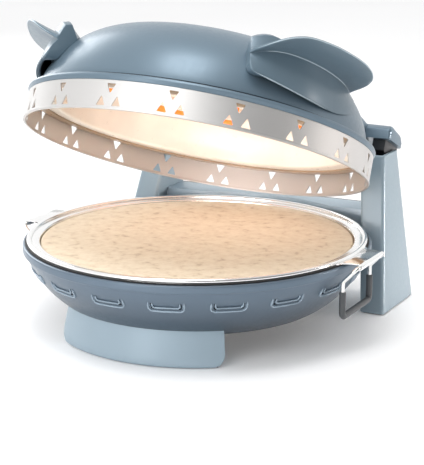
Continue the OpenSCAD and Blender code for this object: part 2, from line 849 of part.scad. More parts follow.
// Closed loop of wire: a top bar in the hem, two cranked legs and a lower bar
module bail() {
    m = len(bail_side);
    n = 18;
    line = concat(bail_side, [for (i = [m - 1:-1:0])
        [[for (k = [0:2]) bail_side[i][0][k] * (k == 1 ? -1 : 1)],
         [for (k = [0:2]) bail_side[i][1][k] * (k == 1 ? 1 : -1)]]]);
    points = [for (s = line, j = [0:n - 1])
        let(c = cross(s[1], [1, 0, 0]), u = c / norm(c), v = cross(s[1], u), a = 360 * j / n)
        s[0] + wire_d / 2 * (cos(a) * u + sin(a) * v)];
    polyhedron(points = points, faces = [for (i = [0:2 * m - 1], j = [0:n - 1])
        let(p = (i + 1) % (2 * m) * n, q = i * n, k = (j + 1) % n)
        each [[q + j, p + j, p + k], [q + j, p + k, q + k]]], convexity = 6);
}

bail_hang_x = bail_kink[3][0][0];
bail_low_z = bail_low_bend[8][0][2];

// Sleeve over the lower bar and the lower part of both legs
module grip_rods(r, extra = 0) {
    for (m = [0, 1]) mirror([0, m, 0]) translate([bail_hang_x, 0, bail_low_z]) rotate([-90, 0, 0])
        rod(r, bail_half) elbow(r, 90, -90) rod(r, grip_leg + extra);
}

module bail_grip() {
    difference() {
        grip_rods(wire_d / 2 + grip_wall);
        grip_rods(wire_d / 2 + 0.05, 1);
    }
}

module right_bail() {
    color(steel) placed() bail();
}

module left_bail() {
    color(steel) placed() mirror([1, 0, 0]) bail();
}

module right_bail_grip() {
    color("#4a4d52") placed() bail_grip();
}

module left_bail_grip() {
    color("#4a4d52") placed() mirror([1, 0, 0]) bail_grip();
}

// ---------------------------------------------------------------- lid shell
lip_r = band_r + 1.1;
neck_r = dome_foot_r + 2.5;
dome_in_r = dome_foot_r - dome_wall;
liner_top_z = band_top_z - band_t;
liner_low_z = liner_top_z - liner_t;
brown_t = 1.5;

// Places of the holes' clusters, at the band's mid-height, facing +X
module cluster_places() {
    for (i = [0:cluster_count - 1]) rotate(-92 + i * 360 / cluster_count) children();
}

// Three triangular holes: two upright, one inverted between and above them
module hole_cluster() {
    mid = band_z + band_h / 2;
    for (h = [[-tri_pitch / 2, -5.6, 1], [tri_pitch / 2, -5.6, 1], [0, 5.6, -1]])
        translate([band_r, h[0], mid + h[1]]) rotate([90, 0, 90])
            linear_extrude(12, center = true) polygon([[-tri_w / 2, -h[2] * tri_h / 2],
                [tri_w / 2, -h[2] * tri_h / 2], [0, h[2] * tri_h / 2]]);
}

module lid_band() {
    color(steel) opened() difference() {
        union() {
            ring(band_r - band_t, band_r, band_z, band_h);
            ring(band_r - 2, band_r + 0.6, band_z, 2.2);
            ring(dome_foot_r + 0.6, band_r, band_top_z - band_t, band_t);
        }
        cluster_places() hole_cluster();
    }
}

module lid_dome() {
    color(paint) opened() difference() {
        rotate_extrude($fn = 240) {
            difference() {
                dome_outline();
                dome_outline(dome_wall, dome_base_z - 1);
            }
            polygon([[dome_in_r, band_top_z], [lip_r, band_top_z], [lip_r, band_top_z + lip_h * 0.5],
                [lip_r - 2, lip_top_z], [neck_r, lip_top_z], [neck_r, dome_base_z],
                [dome_foot_r, dome_base_z + tiny], [dome_in_r, dome_base_z + tiny]]);
        }
        arm_screw_places() cylinder(d = screw_d + 2 * screw_gap, h = 12, center = true);
        wing_screw_places() cylinder(d = screw_d + 2 * screw_gap, h = 12, center = true);
    }
}

module lid_liner() {
    color(cream) opened() difference() {
        rotate_extrude($fn = 240) {
            difference() {
                dome_outline(liner_in, liner_low_z);
                dome_outline(liner_in + liner_t, liner_low_z - 1);
            }
            translate([shoulder_cx + shoulder_r - liner_in - liner_t - 0.3, liner_low_z])
                square([band_r - band_t - fit_gap - shoulder_cx - shoulder_r + liner_in + liner_t + 0.3, liner_t]);
        }
        upper_leg_places() cylinder(d = heater_d + 0.6, h = 60);
    }
}

module liner_ring() {
    color("#5b4030") opened()
        ring(dome_foot_r - 5, band_r - band_t - 0.4, liner_low_z - brown_t, brown_t);
}

module lid_insulation() {
    low = dome_base_z + 1;
    color("#c9c2b2") opened() difference() {
        rotate_extrude($fn = 240) difference() {
            dome_outline(dome_wall + 3, low);
            dome_outline(liner_in - 0.2, low - 1);
        }
        upper_leg_places() cylinder(d = heater_d + 0.6, h = 60);
    }
}

// The two ends of the upper element
module upper_leg_places() {
    for (side = [-1, 1]) rotate(90 + side * leg_angle) translate([heater_r, 0, upper_heater_z]) children();
}

module upper_heater() {
    color("#e8702a") opened() heating_element(upper_heater_z, 31, 1);
}

module upper_heater_supports() {
    color(steel) opened() intersection() {
        for (a = [-90, 30, 150]) rotate(a) translate([heater_r, 0, upper_heater_z]) difference() {
            union() {
                cylinder(r = 2.5, h = 60);
                rotate([90, 0, 0]) cylinder(d = heater_d + 3.4, h = 8, center = true);
            }
            rotate([90, 0, 0]) cylinder(d = heater_d + 0.5, h = 10, center = true);
        }
        rotate_extrude($fn = 240) dome_outline(liner_in + liner_t + fit_gap, upper_heater_z - 20);
    }
}

// ---------------------------------------------------------------- hinge, moving half
// Point on the dome's shoulder, +Z along the outward normal
module on_dome(azimuth, tilt) {
    rotate(azimuth) translate([shoulder_cx, 0, shoulder_cz]) rotate([0, 90 - tilt, 0])
        translate([0, 0, shoulder_r]) children();
}

module arm_screw_places() {
    both_sides() for (tilt = [28, 41])
        on_dome(acos((arm_in + arm_w * 0.4) / (shoulder_cx + shoulder_r * cos(tilt))), tilt) children();
}

arm_low_z = shoulder_cz + shoulder_r * sin(24);
arm_front = 96;

// Arm beside the column: from the dome's shoulder back to the hinge cap
module arm_web() {
    rear = column_rear - 3;
    translate([arm_in, 0, 0]) rotate([90, 0, 90]) linear_extrude(arm_w) difference() {
        polygon([[arm_front, arm_low_z], [bridge_front - 14, arm_low_z + 2], [hinge_y - 18, cap_z],
            [rear, cap_z], [rear, cap_z + cap_h * 0.55], [hinge_y - 12, cap_z + cap_h * 0.8],
            [bridge_front - 16, arm_low_z + arm_h], [arm_front, arm_low_z + arm_h + 4]]);
        circle(r = 1);
    }
}

// Cap over the column's top, flat underneath and rounded above
module hinge_cap() {
    r = column_front_r;
    rr = column_rear_r - 1;
    front = column_front_top;
    hull() {
        for (x = [arm_out - 2 * r, cap_out - r], z = [cap_z, cap_z + cap_h - 3 - r])
            translate([x, front + r, z]) cylinder(r = r, h = 2, $fn = hull_fn);
        for (x = [arm_out - 2 * r, cap_out - r]) translate([x, front + r + 3, cap_z + cap_h - r])
            sphere(r = r, $fn = hull_fn);
        translate([arm_out - 2 * r, column_rear - r, cap_z]) cylinder(r = r, h = cap_h * 0.45, $fn = hull_fn);
        translate([arm_out - 2 * r, column_rear - r - 6, cap_z + cap_h * 0.85 - r]) sphere(r = r, $fn = hull_fn);
        translate([cap_out - rr, column_rear - rr, cap_z]) cylinder(r = rr, h = cap_h * 0.3, $fn = hull_fn);
        translate([cap_out - rr, column_rear - rr - 4, cap_z + cap_h * 0.8 - 4]) cylinder(r1 = rr, r2 = rr - 3, h = 4, $fn = hull_fn);
    }
}

// Seat for the knuckle's plate in the cap's underside
plate_t = 3;
wedge_reach = 33.5;
module knuckle_plate(gap = 0) {
    translate([knuckle_in - 3 - gap, hinge_y - wedge_reach - gap, cap_z - gap])
        cube([knuckle_w + 6 + 2 * gap, wedge_reach + knuckle_r - 4 + 2 * gap, plate_t + 2 * gap]);
}

module plate_screw_places() {
    for (y = [hinge_y - wedge_reach + 5, hinge_y - 2])
        translate([knuckle_in + knuckle_w / 2, y, cap_z]) children();
}

module lid_arm() {
    difference() {
        union() {
            arm_web();
            hinge_cap();
        }
        rotate_extrude($fn = 240) dome_outline(-fit_gap);
        translate([0, 0, -tiny]) knuckle_plate(0.1);
        arm_screw_places() cylinder(d = screw_d + 2 * screw_gap, h = 14, center = true);
        plate_screw_places() cylinder(d = screw_d + 2 * screw_gap, h = 20, center = true);
    }
}

module right_lid_arm() {
    color(paint) opened() lid_arm();
}

module left_lid_arm() {
    color(paint) opened() mirror([1, 0, 0]) lid_arm();
}

// Plate under the cap with an eye on the hinge pin
module knuckle() {
    difference() {
        union() {
            knuckle_plate();
            translate([knuckle_in, hinge_y, hinge_z]) rotate([90, 0, 90]) linear_extrude(knuckle_w) {
                r = knuckle_r;
                h = cap_z - hinge_z;
                polygon([[-wedge_reach, h + 1], [-wedge_reach, r], [-0.5 * r, -0.866 * r], [0.5 * r, -0.866 * r],
                    [0.8 * r, 0], [0.8 * r, h * 0.6], [0.5 * r, h + 1]]);
                circle(r = r);
            }
        }
        translate([knuckle_in - 1, hinge_y, hinge_z]) rotate([0, 90, 0])
            cylinder(d = pin_d + 2 * pin_gap, h = knuckle_w + 2);
        plate_screw_places() translate([0, 0, -1]) cylinder(d = screw_d + 2 * screw_gap, h = 20);
    }
}

module right_knuckle() {
    color(black) opened() knuckle();
}

module left_knuckle() {
    color(black) opened() mirror([1, 0, 0]) knuckle();
}

module arm_screws() {
    color(steel) opened() {
        arm_screw_places() translate([0, 0, -dome_wall - 0.15]) screw(7);
        both_sides() plate_screw_places() translate([0, 0, -1]) cylinder(d = screw_d, h = plate_t + 8, $fn = 32);
    }
}

// ---------------------------------------------------------------- wing handles
wing_z = rim_z + 1;
wing_steps = 28;
crease_rise = 85.5;
tip_rise = 12.5;
edge_rise = 46;

// Heights and radii of a wing's crease, tip and lower edge at t = 0 (front) to 1 (rear)
function crease_h(t) = wing_z + crease_rise - (t < 0.28 ? 9.5 * pow(1 - t / 0.28, 2) : 7 * (t - 0.28));
function crease_r(t) = dome_radius(crease_h(t))
    + wing_crease_out * (1 - 0.27 * pow(max(0, 1 - t / 0.14), 1.5) - 0.92 * pow(max(0, (t - 0.35) / 0.65), 1.25));
function tip_f(t) = 1 - pow(abs(2 * t - 1), t < 0.5 ? 4 : 3.2);
function tip_r(t) = crease_r(t) + 1.2 + (wing_tip_r - crease_r(t) - 1.2) * tip_f(t);
function tip_h(t) = crease_h(t) + 1.5 + (tip_rise - 1.5) * pow(tip_f(t), t < 0.5 ? 2.5 : 1)
    - 9 * max(0, t - 0.45) * min(1, 6 * (1 - t));
function edge_h(t) = wing_z + edge_rise + (t < 0.58 ? 12.5 * pow((0.58 - t) / 0.58, 1.6) : 22 * pow((t - 0.58) / 0.42, 2));
function edge_out(t) = 1.4 + (finger_gap + blade_t) * max(0, 1 - t / 0.62);
function fin(t) = 13.8 * pow(max(0, 1 - pow((t - 0.06) / 0.205, 2)), 1.5);
function end_block(t) = max(0, min(1, (0.09 - t) / 0.04));

// Section of a wing at t, as radius and height, starting at the lower edge. The
// finger gap is closed off by a block at the wing's front end.
function wing_section(t) =
    let(c = [crease_r(t), crease_h(t)], u = [tip_r(t), tip_h(t)], eh = edge_h(t),
        e = [dome_radius(eh) + edge_out(t), eh], b = blade_t * (t > 0.8 ? 1 - 0.6 * (t - 0.8) / 0.2 : 1),
        mid_low = (c + e) / 2, mid_up = (c + u) / 2, w = end_block(t), f = fin(t), q = min(1, f / 6),
        root = dome_radius(c[1] - 5) + 0.2, top = c[1] + b + 1)
    [e, mid_low + [1.2, 0], c, mid_up + [0, -0.6], u, u + [-0.6, b * 0.6], mid_up + [-1, b * 0.9],
        [c[0] - 0.5, top], [c[0] - 1 - 0.5 * q, top + 0.9 * f], [c[0] - 1.6 - 8 * q, top + 1.2 * f],
        [dome_radius(top) + 0.25, top],
        [root, c[1] - 5], inner(c[0] - b - 1.2, c[1] - 6.5, w), inner(mid_low[0] + 0.8 - b, mid_low[1], w),
        inner(e[0] - b * 0.9, eh + 0.6, w)];

// Point on a wing's inner side, moved on to the dome by w = 1
function inner(r, h, w) = let(low = dome_radius(h) + 0.3) [low + (1 - w) * max(0.2, r - low), h];

module wing() {
    sections = [for (i = [0:wing_steps]) wing_section(i / wing_steps)];
    n = len(sections[0]);
    points = [for (i = [0:wing_steps], k = [0:n - 1])
        let(a = wing_start + wing_sweep * i / wing_steps, p = sections[i][k])
        [p[0] * sin(a), -p[0] * cos(a), p[1]]];
    sides = [for (i = [0:wing_steps - 1], k = [0:n - 1]) let(j = (k + 1) % n)
        each [[i * n + k, i * n + j, (i + 1) * n + j], [i * n + k, (i + 1) * n + j, (i + 1) * n + k]]];
    front = [[for (k = [n - 1:-1:0]) k]];
    rear = [[for (k = [0:n - 1]) wing_steps * n + k]];
    polyhedron(points = points, faces = concat(front, sides, rear), convexity = 6);
}

module wing_screw_places() {
    both_sides() for (t = [0.12, 0.45, 0.8]) {
        h = crease_h(t) - 1;
        on_dome(-90 + wing_start + wing_sweep * t, asin((h - shoulder_cz) / shoulder_r)) children();
    }
}

module wing_handle() {
    difference() {
        wing();
        wing_screw_places() cylinder(d = screw_d + 2 * screw_gap, h = 14, center = true);
    }
}

module right_wing_handle() {
    color(paint) opened() wing_handle();
}

module left_wing_handle() {
    color(paint) opened() mirror([1, 0, 0]) wing_handle();
}

module wing_screws() {
    color(steel) opened() wing_screw_places() translate([0, 0, -dome_wall - 0.15]) screw(dome_wall + 5);
}

base_bowl();
rim_gasket();
lower_reflector();
lower_heater();
lower_heater_supports();
base_insulation();
bottom_cover();
bottom_screws();
front_foot();
foot_screws();
foot_pads();
left_column();
right_column();
column_base_plates();
bowl_brackets();
rear_bridge();
rear_cover();
rear_cover_screws();
cord_gland();
terminal_block();
thermal_fuse();
thermostat();
control_knob();
indicator_lens();
left_hinge_block();
right_hinge_block();
hinge_pins();
hinge_washers();
stone_tray();
pizza_stone();
left_bail();
right_bail();
left_bail_grip();
right_bail_grip();
lid_band();
lid_dome();
lid_liner();
liner_ring();
lid_insulation();
upper_heater();
upper_heater_supports();
left_lid_arm();
right_lid_arm();
left_knuckle();
right_knuckle();
arm_screws();
left_wing_handle();
right_wing_handle();
wing_screws();
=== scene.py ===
"""Looks for the countertop pizza oven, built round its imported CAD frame. Lengths are in millimetres in the
bowl's frame (origin on the bowl's axis, front -Y) and are put into the row's frame, in metres, by place()."""
import bmesh, bpy, json, math
from mathutils import Matrix, Vector


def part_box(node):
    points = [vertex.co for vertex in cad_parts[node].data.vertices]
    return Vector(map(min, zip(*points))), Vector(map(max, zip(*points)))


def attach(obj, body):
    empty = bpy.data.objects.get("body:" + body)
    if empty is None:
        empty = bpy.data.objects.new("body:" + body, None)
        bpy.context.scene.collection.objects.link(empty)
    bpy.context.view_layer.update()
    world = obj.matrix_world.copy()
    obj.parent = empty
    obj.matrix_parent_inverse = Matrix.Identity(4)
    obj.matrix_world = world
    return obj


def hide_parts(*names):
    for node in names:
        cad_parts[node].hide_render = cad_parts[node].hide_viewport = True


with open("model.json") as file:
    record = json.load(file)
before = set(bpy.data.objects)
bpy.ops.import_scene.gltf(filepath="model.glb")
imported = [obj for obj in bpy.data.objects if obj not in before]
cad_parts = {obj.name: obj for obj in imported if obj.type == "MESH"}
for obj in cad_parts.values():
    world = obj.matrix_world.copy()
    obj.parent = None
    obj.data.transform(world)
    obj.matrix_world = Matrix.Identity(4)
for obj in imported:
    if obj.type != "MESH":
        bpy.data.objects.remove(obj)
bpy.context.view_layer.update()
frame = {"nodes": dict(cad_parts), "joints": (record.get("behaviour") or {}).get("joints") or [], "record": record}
NODES = frame["nodes"]
SCENE = bpy.context.scene


def mm(point):
    """Frame's metres to millimetres, without the rounding errors of the model's single precision."""
    return [round(v * 1000, 3) for v in point]


# The bails swing level with the bowl's axis, and the lid turns about the hinge
JOINT_AT = {j["name"]: mm(j["pos_m"]) for j in frame["joints"]}
HEM_X, AXIS_Y, HEM_Z = JOINT_AT["right_bail_swing"]
MID = -AXIS_Y  # how far the row's origin lies behind the bowl's axis
HINGE_Y, HINGE_Z = JOINT_AT["lid_hinge"][1] + MID, JOINT_AT["lid_hinge"][2]
OPEN = math.radians(24)  # how far the lid stands open at rest


# ------------------------------------------------------------------ camera
def make_camera():
    az, el = math.radians(27.9), math.radians(14.6)
    dist, focal, picture = 1555.6, 1543.5, 465  # mm to the target; pixels
    target, right, up = Vector((0, -MID, 90)), 14.8, 4.1  # the target's shift in the picture, in pixels
    f = Vector((-math.sin(az) * math.cos(el), math.cos(az) * math.cos(el), -math.sin(el)))
    r = Vector((math.cos(az), math.sin(az), 0))
    u = r.cross(f)
    cam = bpy.data.objects.new("camera", bpy.data.cameras.new("camera"))
    SCENE.collection.objects.link(cam)
    cam.location = (target - dist * f) / 1000
    aim = f + r * (right / focal) + u * (up / focal)
    cam.rotation_euler = aim.to_track_quat("-Z", "Y").to_euler()
    cam.data.sensor_width, cam.data.clip_start = 36, 0.05
    cam.data.lens = focal * cam.data.sensor_width / picture
    SCENE.camera = cam


make_camera()


# ------------------------------------------------------------------ mesh helpers
def lid(v):
    """Closed-lid point to where it stands with the lid open."""
    dy, dz = v[1] - HINGE_Y, v[2] - HINGE_Z
    c, s = math.cos(OPEN), math.sin(OPEN)
    return Vector((v[0], HINGE_Y + dy * c + dz * s, HINGE_Z + dz * c - dy * s))


def place(v, on_lid=False, flip=False):
    """Millimetres in the bowl's frame to metres in the row's frame, mirrored in X with flip."""
    v = lid(v) if on_lid else Vector(v)
    return Vector((-v[0] if flip else v[0], v[1] - MID, v[2])) / 1000


def new_object(name, verts, faces):
    """Mesh object with equal points merged and its faces turned outwards."""
    me = bpy.data.meshes.new(name)
    me.from_pydata([tuple(v) for v in verts], [], faces)
    bm = bmesh.new()
    bm.from_mesh(me)
    bmesh.ops.remove_doubles(bm, verts=bm.verts, dist=1e-4)
    bmesh.ops.recalc_face_normals(bm, faces=bm.faces)
    bm.to_mesh(me)
    bm.free()
    o = bpy.data.objects.new(name, me)
    SCENE.collection.objects.link(o)
    return o


def bake(o):
    """Applies an object's modifiers."""
    bpy.context.view_layer.update()
    graph = bpy.context.evaluated_depsgraph_get()
    me = bpy.data.meshes.new_from_object(o.evaluated_get(graph))
    o.modifiers.clear()
    o.data = me
    return o


def finish_piece(o, body, mat, replaces=(), on_lid=False, flip=False, angle=32):
    """Millimetre mesh in the bowl's frame to a piece that rides on its body."""
    for v in o.data.vertices:
        v.co = place(v.co, on_lid, flip)
    if flip:
        o.data.flip_normals()
    dress(o, mat, angle)
    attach(o, body)
    if replaces:
        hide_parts(*replaces)
    return o


def dress(o, mat, angle):
    """One material all over, and edges over the angle shown sharp."""
    o.data.materials.clear()
    o.data.materials.append(mat)
    for p in o.data.polygons:
        p.use_smooth = True
        p.material_index = 0
    o.data.set_sharp_from_angle(angle=math.radians(angle))


def join(*objs):
    """Joins objects into the first."""
    bm = bmesh.new()
    for o in objs:
        bm.from_mesh(o.data)
    bm.to_mesh(objs[0].data)
    bm.free()
    for o in objs[1:]:
        bpy.data.objects.remove(o)
    return objs[0]


def bevel(o, width, segments=3, angle=30):
    m = o.modifiers.new("bevel", "BEVEL")
    m.width, m.segments = width, segments
    m.limit_method, m.angle_limit = "ANGLE", math.radians(angle)
    m.harden_normals = False
    return bake(o)


def cut(o, cutter):
    m = o.modifiers.new("cut", "BOOLEAN")
    m.operation, m.object, m.solver = "DIFFERENCE", cutter, "EXACT"
    bake(o)
    bpy.data.objects.remove(cutter)
    return o


def skin(rows, m, round_trip=False, backwards=False):
    """Faces between rows of m points each, every row a closed ring."""
    faces = []
    for i in range(rows if round_trip else rows - 1):
        j = (i + 1) % rows
        for k in range(m):
            l = (k + 1) % m
            faces.append((i * m + k, j * m + k, j * m + l, i * m + l) if backwards else
                         (i * m + k, i * m + l, j * m + l, j * m + k))
    return faces


def revolve(profile, n=240):
    """Verts and faces of a closed profile of (radius, height) points turned about the axis."""
    verts, m = [], len(profile)
    for i in range(n):
        a = 2 * math.pi * i / n
        verts += [(r * math.cos(a), r * math.sin(a), z) for r, z in profile]
    faces = skin(n, m, True, True)
    on_axis = [r < 1e-6 for r, z in profile]
    return verts, [f for f in faces if not (on_axis[f[0] % m] and on_axis[f[3] % m])]


def arc(cx, cz, r, a0, a1, n):
    return [(cx + r * math.cos(math.radians(a0 + (a1 - a0) * i / n)),
             cz + r * math.sin(math.radians(a0 + (a1 - a0) * i / n))) for i in range(n + 1)]


def rounded(points, r, n=4):
    """Closed 2D outline with each corner rounded by r (or its own, as a third value)."""
    out, m = [], len(points)
    for i in range(m):
        p0, p1, p2 = (Vector(points[(i + d) % m][:2]) for d in (-1, 0, 1))
        rad = points[i][2] if len(points[i]) > 2 else r
        if rad <= 0:
            out.append(tuple(p1))
            continue
        u, v = (p0 - p1).normalized(), (p2 - p1).normalized()
        half = max(0.03, math.acos(max(-1, min(1, u.dot(v)))) / 2)
        t = min(rad / math.tan(half), (p0 - p1).length * 0.48, (p2 - p1).length * 0.48)
        rad = t * math.tan(half)
        c = p1 + (u + v).normalized() * (rad / math.sin(half))
        s, e = p1 + u * t - c, p1 + v * t - c
        turn = math.atan2(s.x * e.y - s.y * e.x, s.dot(e))
        for k in range(n + 1):
            a = turn * k / n
            out.append((c.x + s.x * math.cos(a) - s.y * math.sin(a), c.y + s.x * math.sin(a) + s.y * math.cos(a)))
    return out


def front_point(r, z, a):
    """Point at a radius and height, turned by a from the front (-Y) towards the right (+X)."""
    return r * math.sin(a), -r * math.cos(a), z


def turned(s, h, z, a):
    """Point s to the side and h out from the axis, turned by a from +X."""
    return h * math.cos(a) - s * math.sin(a), h * math.sin(a) + s * math.cos(a), z


def prism(outline, low, high, axis="z"):
    """Extrudes a 2D outline; along x it holds (y, z), along y it holds (x, z)."""
    n = len(outline)
    put = {"z": lambda p, h: (p[0], p[1], h),
           "x": lambda p, h: (h, p[0], p[1]),
           "y": lambda p, h: (p[0], h, p[1])}[axis]
    verts = [put(p, low) for p in outline] + [put(p, high) for p in outline]
    faces = [tuple(range(n))[::-1], tuple(range(n, 2 * n))]
    faces += [(k, (k + 1) % n, n + (k + 1) % n, n + k) for k in range(n)]
    return verts, faces


def pipe(points, radius, n=14, closed=False):
    """Tube along a list of points, with one radius or one for each point."""
    pts = [Vector(p) for p in points]
    m = len(pts)
    verts, up = [], None
    for i, p in enumerate(pts):
        t = (pts[(i + 1) % m] - pts[i - 1]) if closed else (pts[min(i + 1, m - 1)] - pts[max(i - 1, 0)])
        t.normalize()
        if up is None:
            up = t.orthogonal().normalized()
        up = (up - t * up.dot(t)).normalized()
        side = t.cross(up)
        rad = radius[i] if isinstance(radius, (list, tuple)) else radius
        for k in range(n):
            a = 2 * math.pi * k / n
            verts.append(p + rad * (math.cos(a) * up + math.sin(a) * side))
    faces = skin(m, n, closed)
    if not closed:
        faces += [tuple(range(n))[::-1], tuple(range((m - 1) * n, m * n))]
    return verts, faces


# ------------------------------------------------------------------ materials
def set_range(node, *values):
    for name, v in zip(("From Min", "From Max", "To Min", "To Max"), values):
        node.inputs[name].default_value = v


class Nodes:
    """A material with its shader, and the few node chains that the materials below share."""

    def __init__(self, name):
        self.mat = bpy.data.materials.new(name)
        self.mat.use_nodes = True
        self.t = self.mat.node_tree
        self.bsdf = self.t.nodes["Principled BSDF"]

    def set(self, **kw):
        for k, v in kw.items():
            self.bsdf.inputs[k.replace("_", " ")].default_value = v
        return self

    def add(self, kind, **kw):
        n = self.t.nodes.new(kind)
        for k, v in kw.items():
            if k in n.inputs:
                n.inputs[k].default_value = v
            else:
                setattr(n, k, v)
        return n

    def link(self, a, b):
        self.t.links.new(a, b)

    def coords(self, scale=(1, 1, 1)):
        c = self.add("ShaderNodeTexCoord")
        m = self.add("ShaderNodeMapping")
        m.inputs["Scale"].default_value = scale
        self.link(c.outputs["Object"], m.inputs["Vector"])
        return m.outputs["Vector"]

    def noise(self, scale, detail=3, rough=0.5, stretch=(1, 1, 1)):
        n = self.add("ShaderNodeTexNoise", Scale=scale, Detail=detail, Roughness=rough)
        self.link(self.coords(stretch), n.inputs["Vector"])
        return n.outputs["Fac"]

    def ramp(self, fac, *stops):
        n = self.add("ShaderNodeValToRGB")
        e = n.color_ramp.elements
        while len(e) < len(stops):
            e.new(0.5)
        for el, (pos, col) in zip(e, stops):
            el.position, el.color = pos, (*col, 1) if len(col) == 3 else col
        self.link(fac, n.inputs["Fac"])
        return n.outputs["Color"]

    def spread(self, fac, low, high, lo=0.3, hi=0.7):
        """Maps lo...hi to low...high."""
        n = self.add("ShaderNodeMapRange")
        set_range(n, lo, hi, low, high)
        self.link(fac, n.inputs["Value"])
        return n.outputs["Result"]

    def bump(self, fac, strength, distance):
        n = self.add("ShaderNodeBump", Strength=strength, Distance=distance)
        self.link(fac, n.inputs["Height"])
        old = self.bsdf.inputs["Normal"].links
        if old:
            self.link(old[0].from_socket, n.inputs["Normal"])
        self.link(n.outputs["Normal"], self.bsdf.inputs["Normal"])
        return self

    def colour(self, fac, *stops):
        self.link(self.ramp(fac, *stops), self.bsdf.inputs["Base Color"])
        return self

    def rough(self, fac, low, high):
        self.link(self.spread(fac, low, high), self.bsdf.inputs["Roughness"])
        return self


def tone(c, k):
    return tuple(min(1, x * k) for x in c)


def paint(name, c, metal=0.35, rough=(0.33, 0.41), fleck=0.12, painted_shade_heights=None):
    """Satin paint; the optional pair of heights paints shade into it, darker towards the bottom and a little lighter
    at the top.
    """
    m = Nodes(name).set(Metallic=metal)
    m.colour(m.noise(9, 2), (0.3, tone(c, 0.96)), (0.7, tone(c, 1.04)))
    # Painted shade: the colour is multiplied from 0.45 at the lower height up to 1.12 at the upper one, standing in
    # for the shade under the bowl.
    if painted_shade_heights:
        split = m.add("ShaderNodeSeparateXYZ")
        m.link(m.add("ShaderNodeTexCoord").outputs["Object"], split.inputs[0])
        height = m.spread(split.outputs["Z"], 0, 1, *painted_shade_heights)
        painted_shade_ramp = m.ramp(height, *((pos, (k, k, k)) for pos, k in ((0.0, 0.45), (0.55, 0.85), (1.0, 1.12))))
        mix = m.add("ShaderNodeMix", data_type="RGBA", blend_type="MULTIPLY")
        mix.inputs[0].default_value = 1.0
        m.link(m.bsdf.inputs["Base Color"].links[0].from_socket, mix.inputs[6])
        m.link(painted_shade_ramp, mix.inputs[7])
        m.link(mix.outputs[2], m.bsdf.inputs["Base Color"])
    m.rough(m.noise(260, 2), *rough)
    m.bump(m.noise(2200, 2), fleck, 0.00002)
    m.bump(m.noise(340, 3), 0.10, 0.00004)
    m.set(Coat_Weight=0.18, Coat_Roughness=0.22)
    return m.mat


def plastic(name, c, rough=(0.4, 0.5), grain=0.25, coat=0.0):
    m = Nodes(name)
    m.colour(m.noise(14, 2), (0.3, tone(c, 0.93)), (0.7, tone(c, 1.07)))
    m.rough(m.noise(300, 2), *rough)
    m.bump(m.noise(1600, 3), grain, 0.00004)
    m.set(Coat_Weight=coat)
    return m.mat


def metal(name, c, rough=(0.1, 0.18), stretch=(1, 1, 30), scale=60, scratch=0.05):
    """Metal with scratches drawn out along X and Y by the stretch."""
    m = Nodes(name).set(Metallic=1.0)
    m.colour(m.noise(7, 2), (0.3, tone(c, 0.96)), (0.7, tone(c, 1.03)))
    m.rough(m.noise(scale, 4, 0.6, stretch), *rough)
    m.bump(m.noise(scale * 6, 3, 0.6, stretch), scratch, 0.00002)
    return m.mat


def stone_material():
    m = Nodes("cordierite")
    fine, spots = m.noise(420, 5, 0.7), m.noise(90, 4, 0.65)
    m.colour(spots, (0.28, (0.56, 0.45, 0.32)), (0.42, (0.78, 0.68, 0.52)),
             (0.62, (0.86, 0.77, 0.61)), (0.8, (0.80, 0.72, 0.57)))
    m.rough(fine, 0.78, 0.95)
    m.bump(fine, 0.45, 0.0003)
    m.bump(m.noise(1500, 3), 0.35, 0.0001)
    return m.mat


def enamel(name, c, low=0.9):
    m = Nodes(name)
    m.colour(m.noise(22, 3), (0.25, tone(c, low)), (0.75, tone(c, 1.05)))
    m.rough(m.noise(180, 3), 0.26, 0.42)
    m.bump(m.noise(120, 3), 0.12, 0.0002)
    m.set(Coat_Weight=0.2, Coat_Roughness=0.2)
    return m.mat


def glowing():
    m = Nodes("glowing_sheath")
    hot = m.ramp(m.noise(40, 3), (0.3, (1.0, 0.13, 0.012)), (0.7, (1.0, 0.30, 0.04)))
    m.link(hot, m.bsdf.inputs["Emission Color"])
    m.set(Emission_Strength=1.0, Base_Color=(0.5, 0.14, 0.03, 1))
    m.rough(m.noise(300, 2), 0.5, 0.7)
    return m.mat


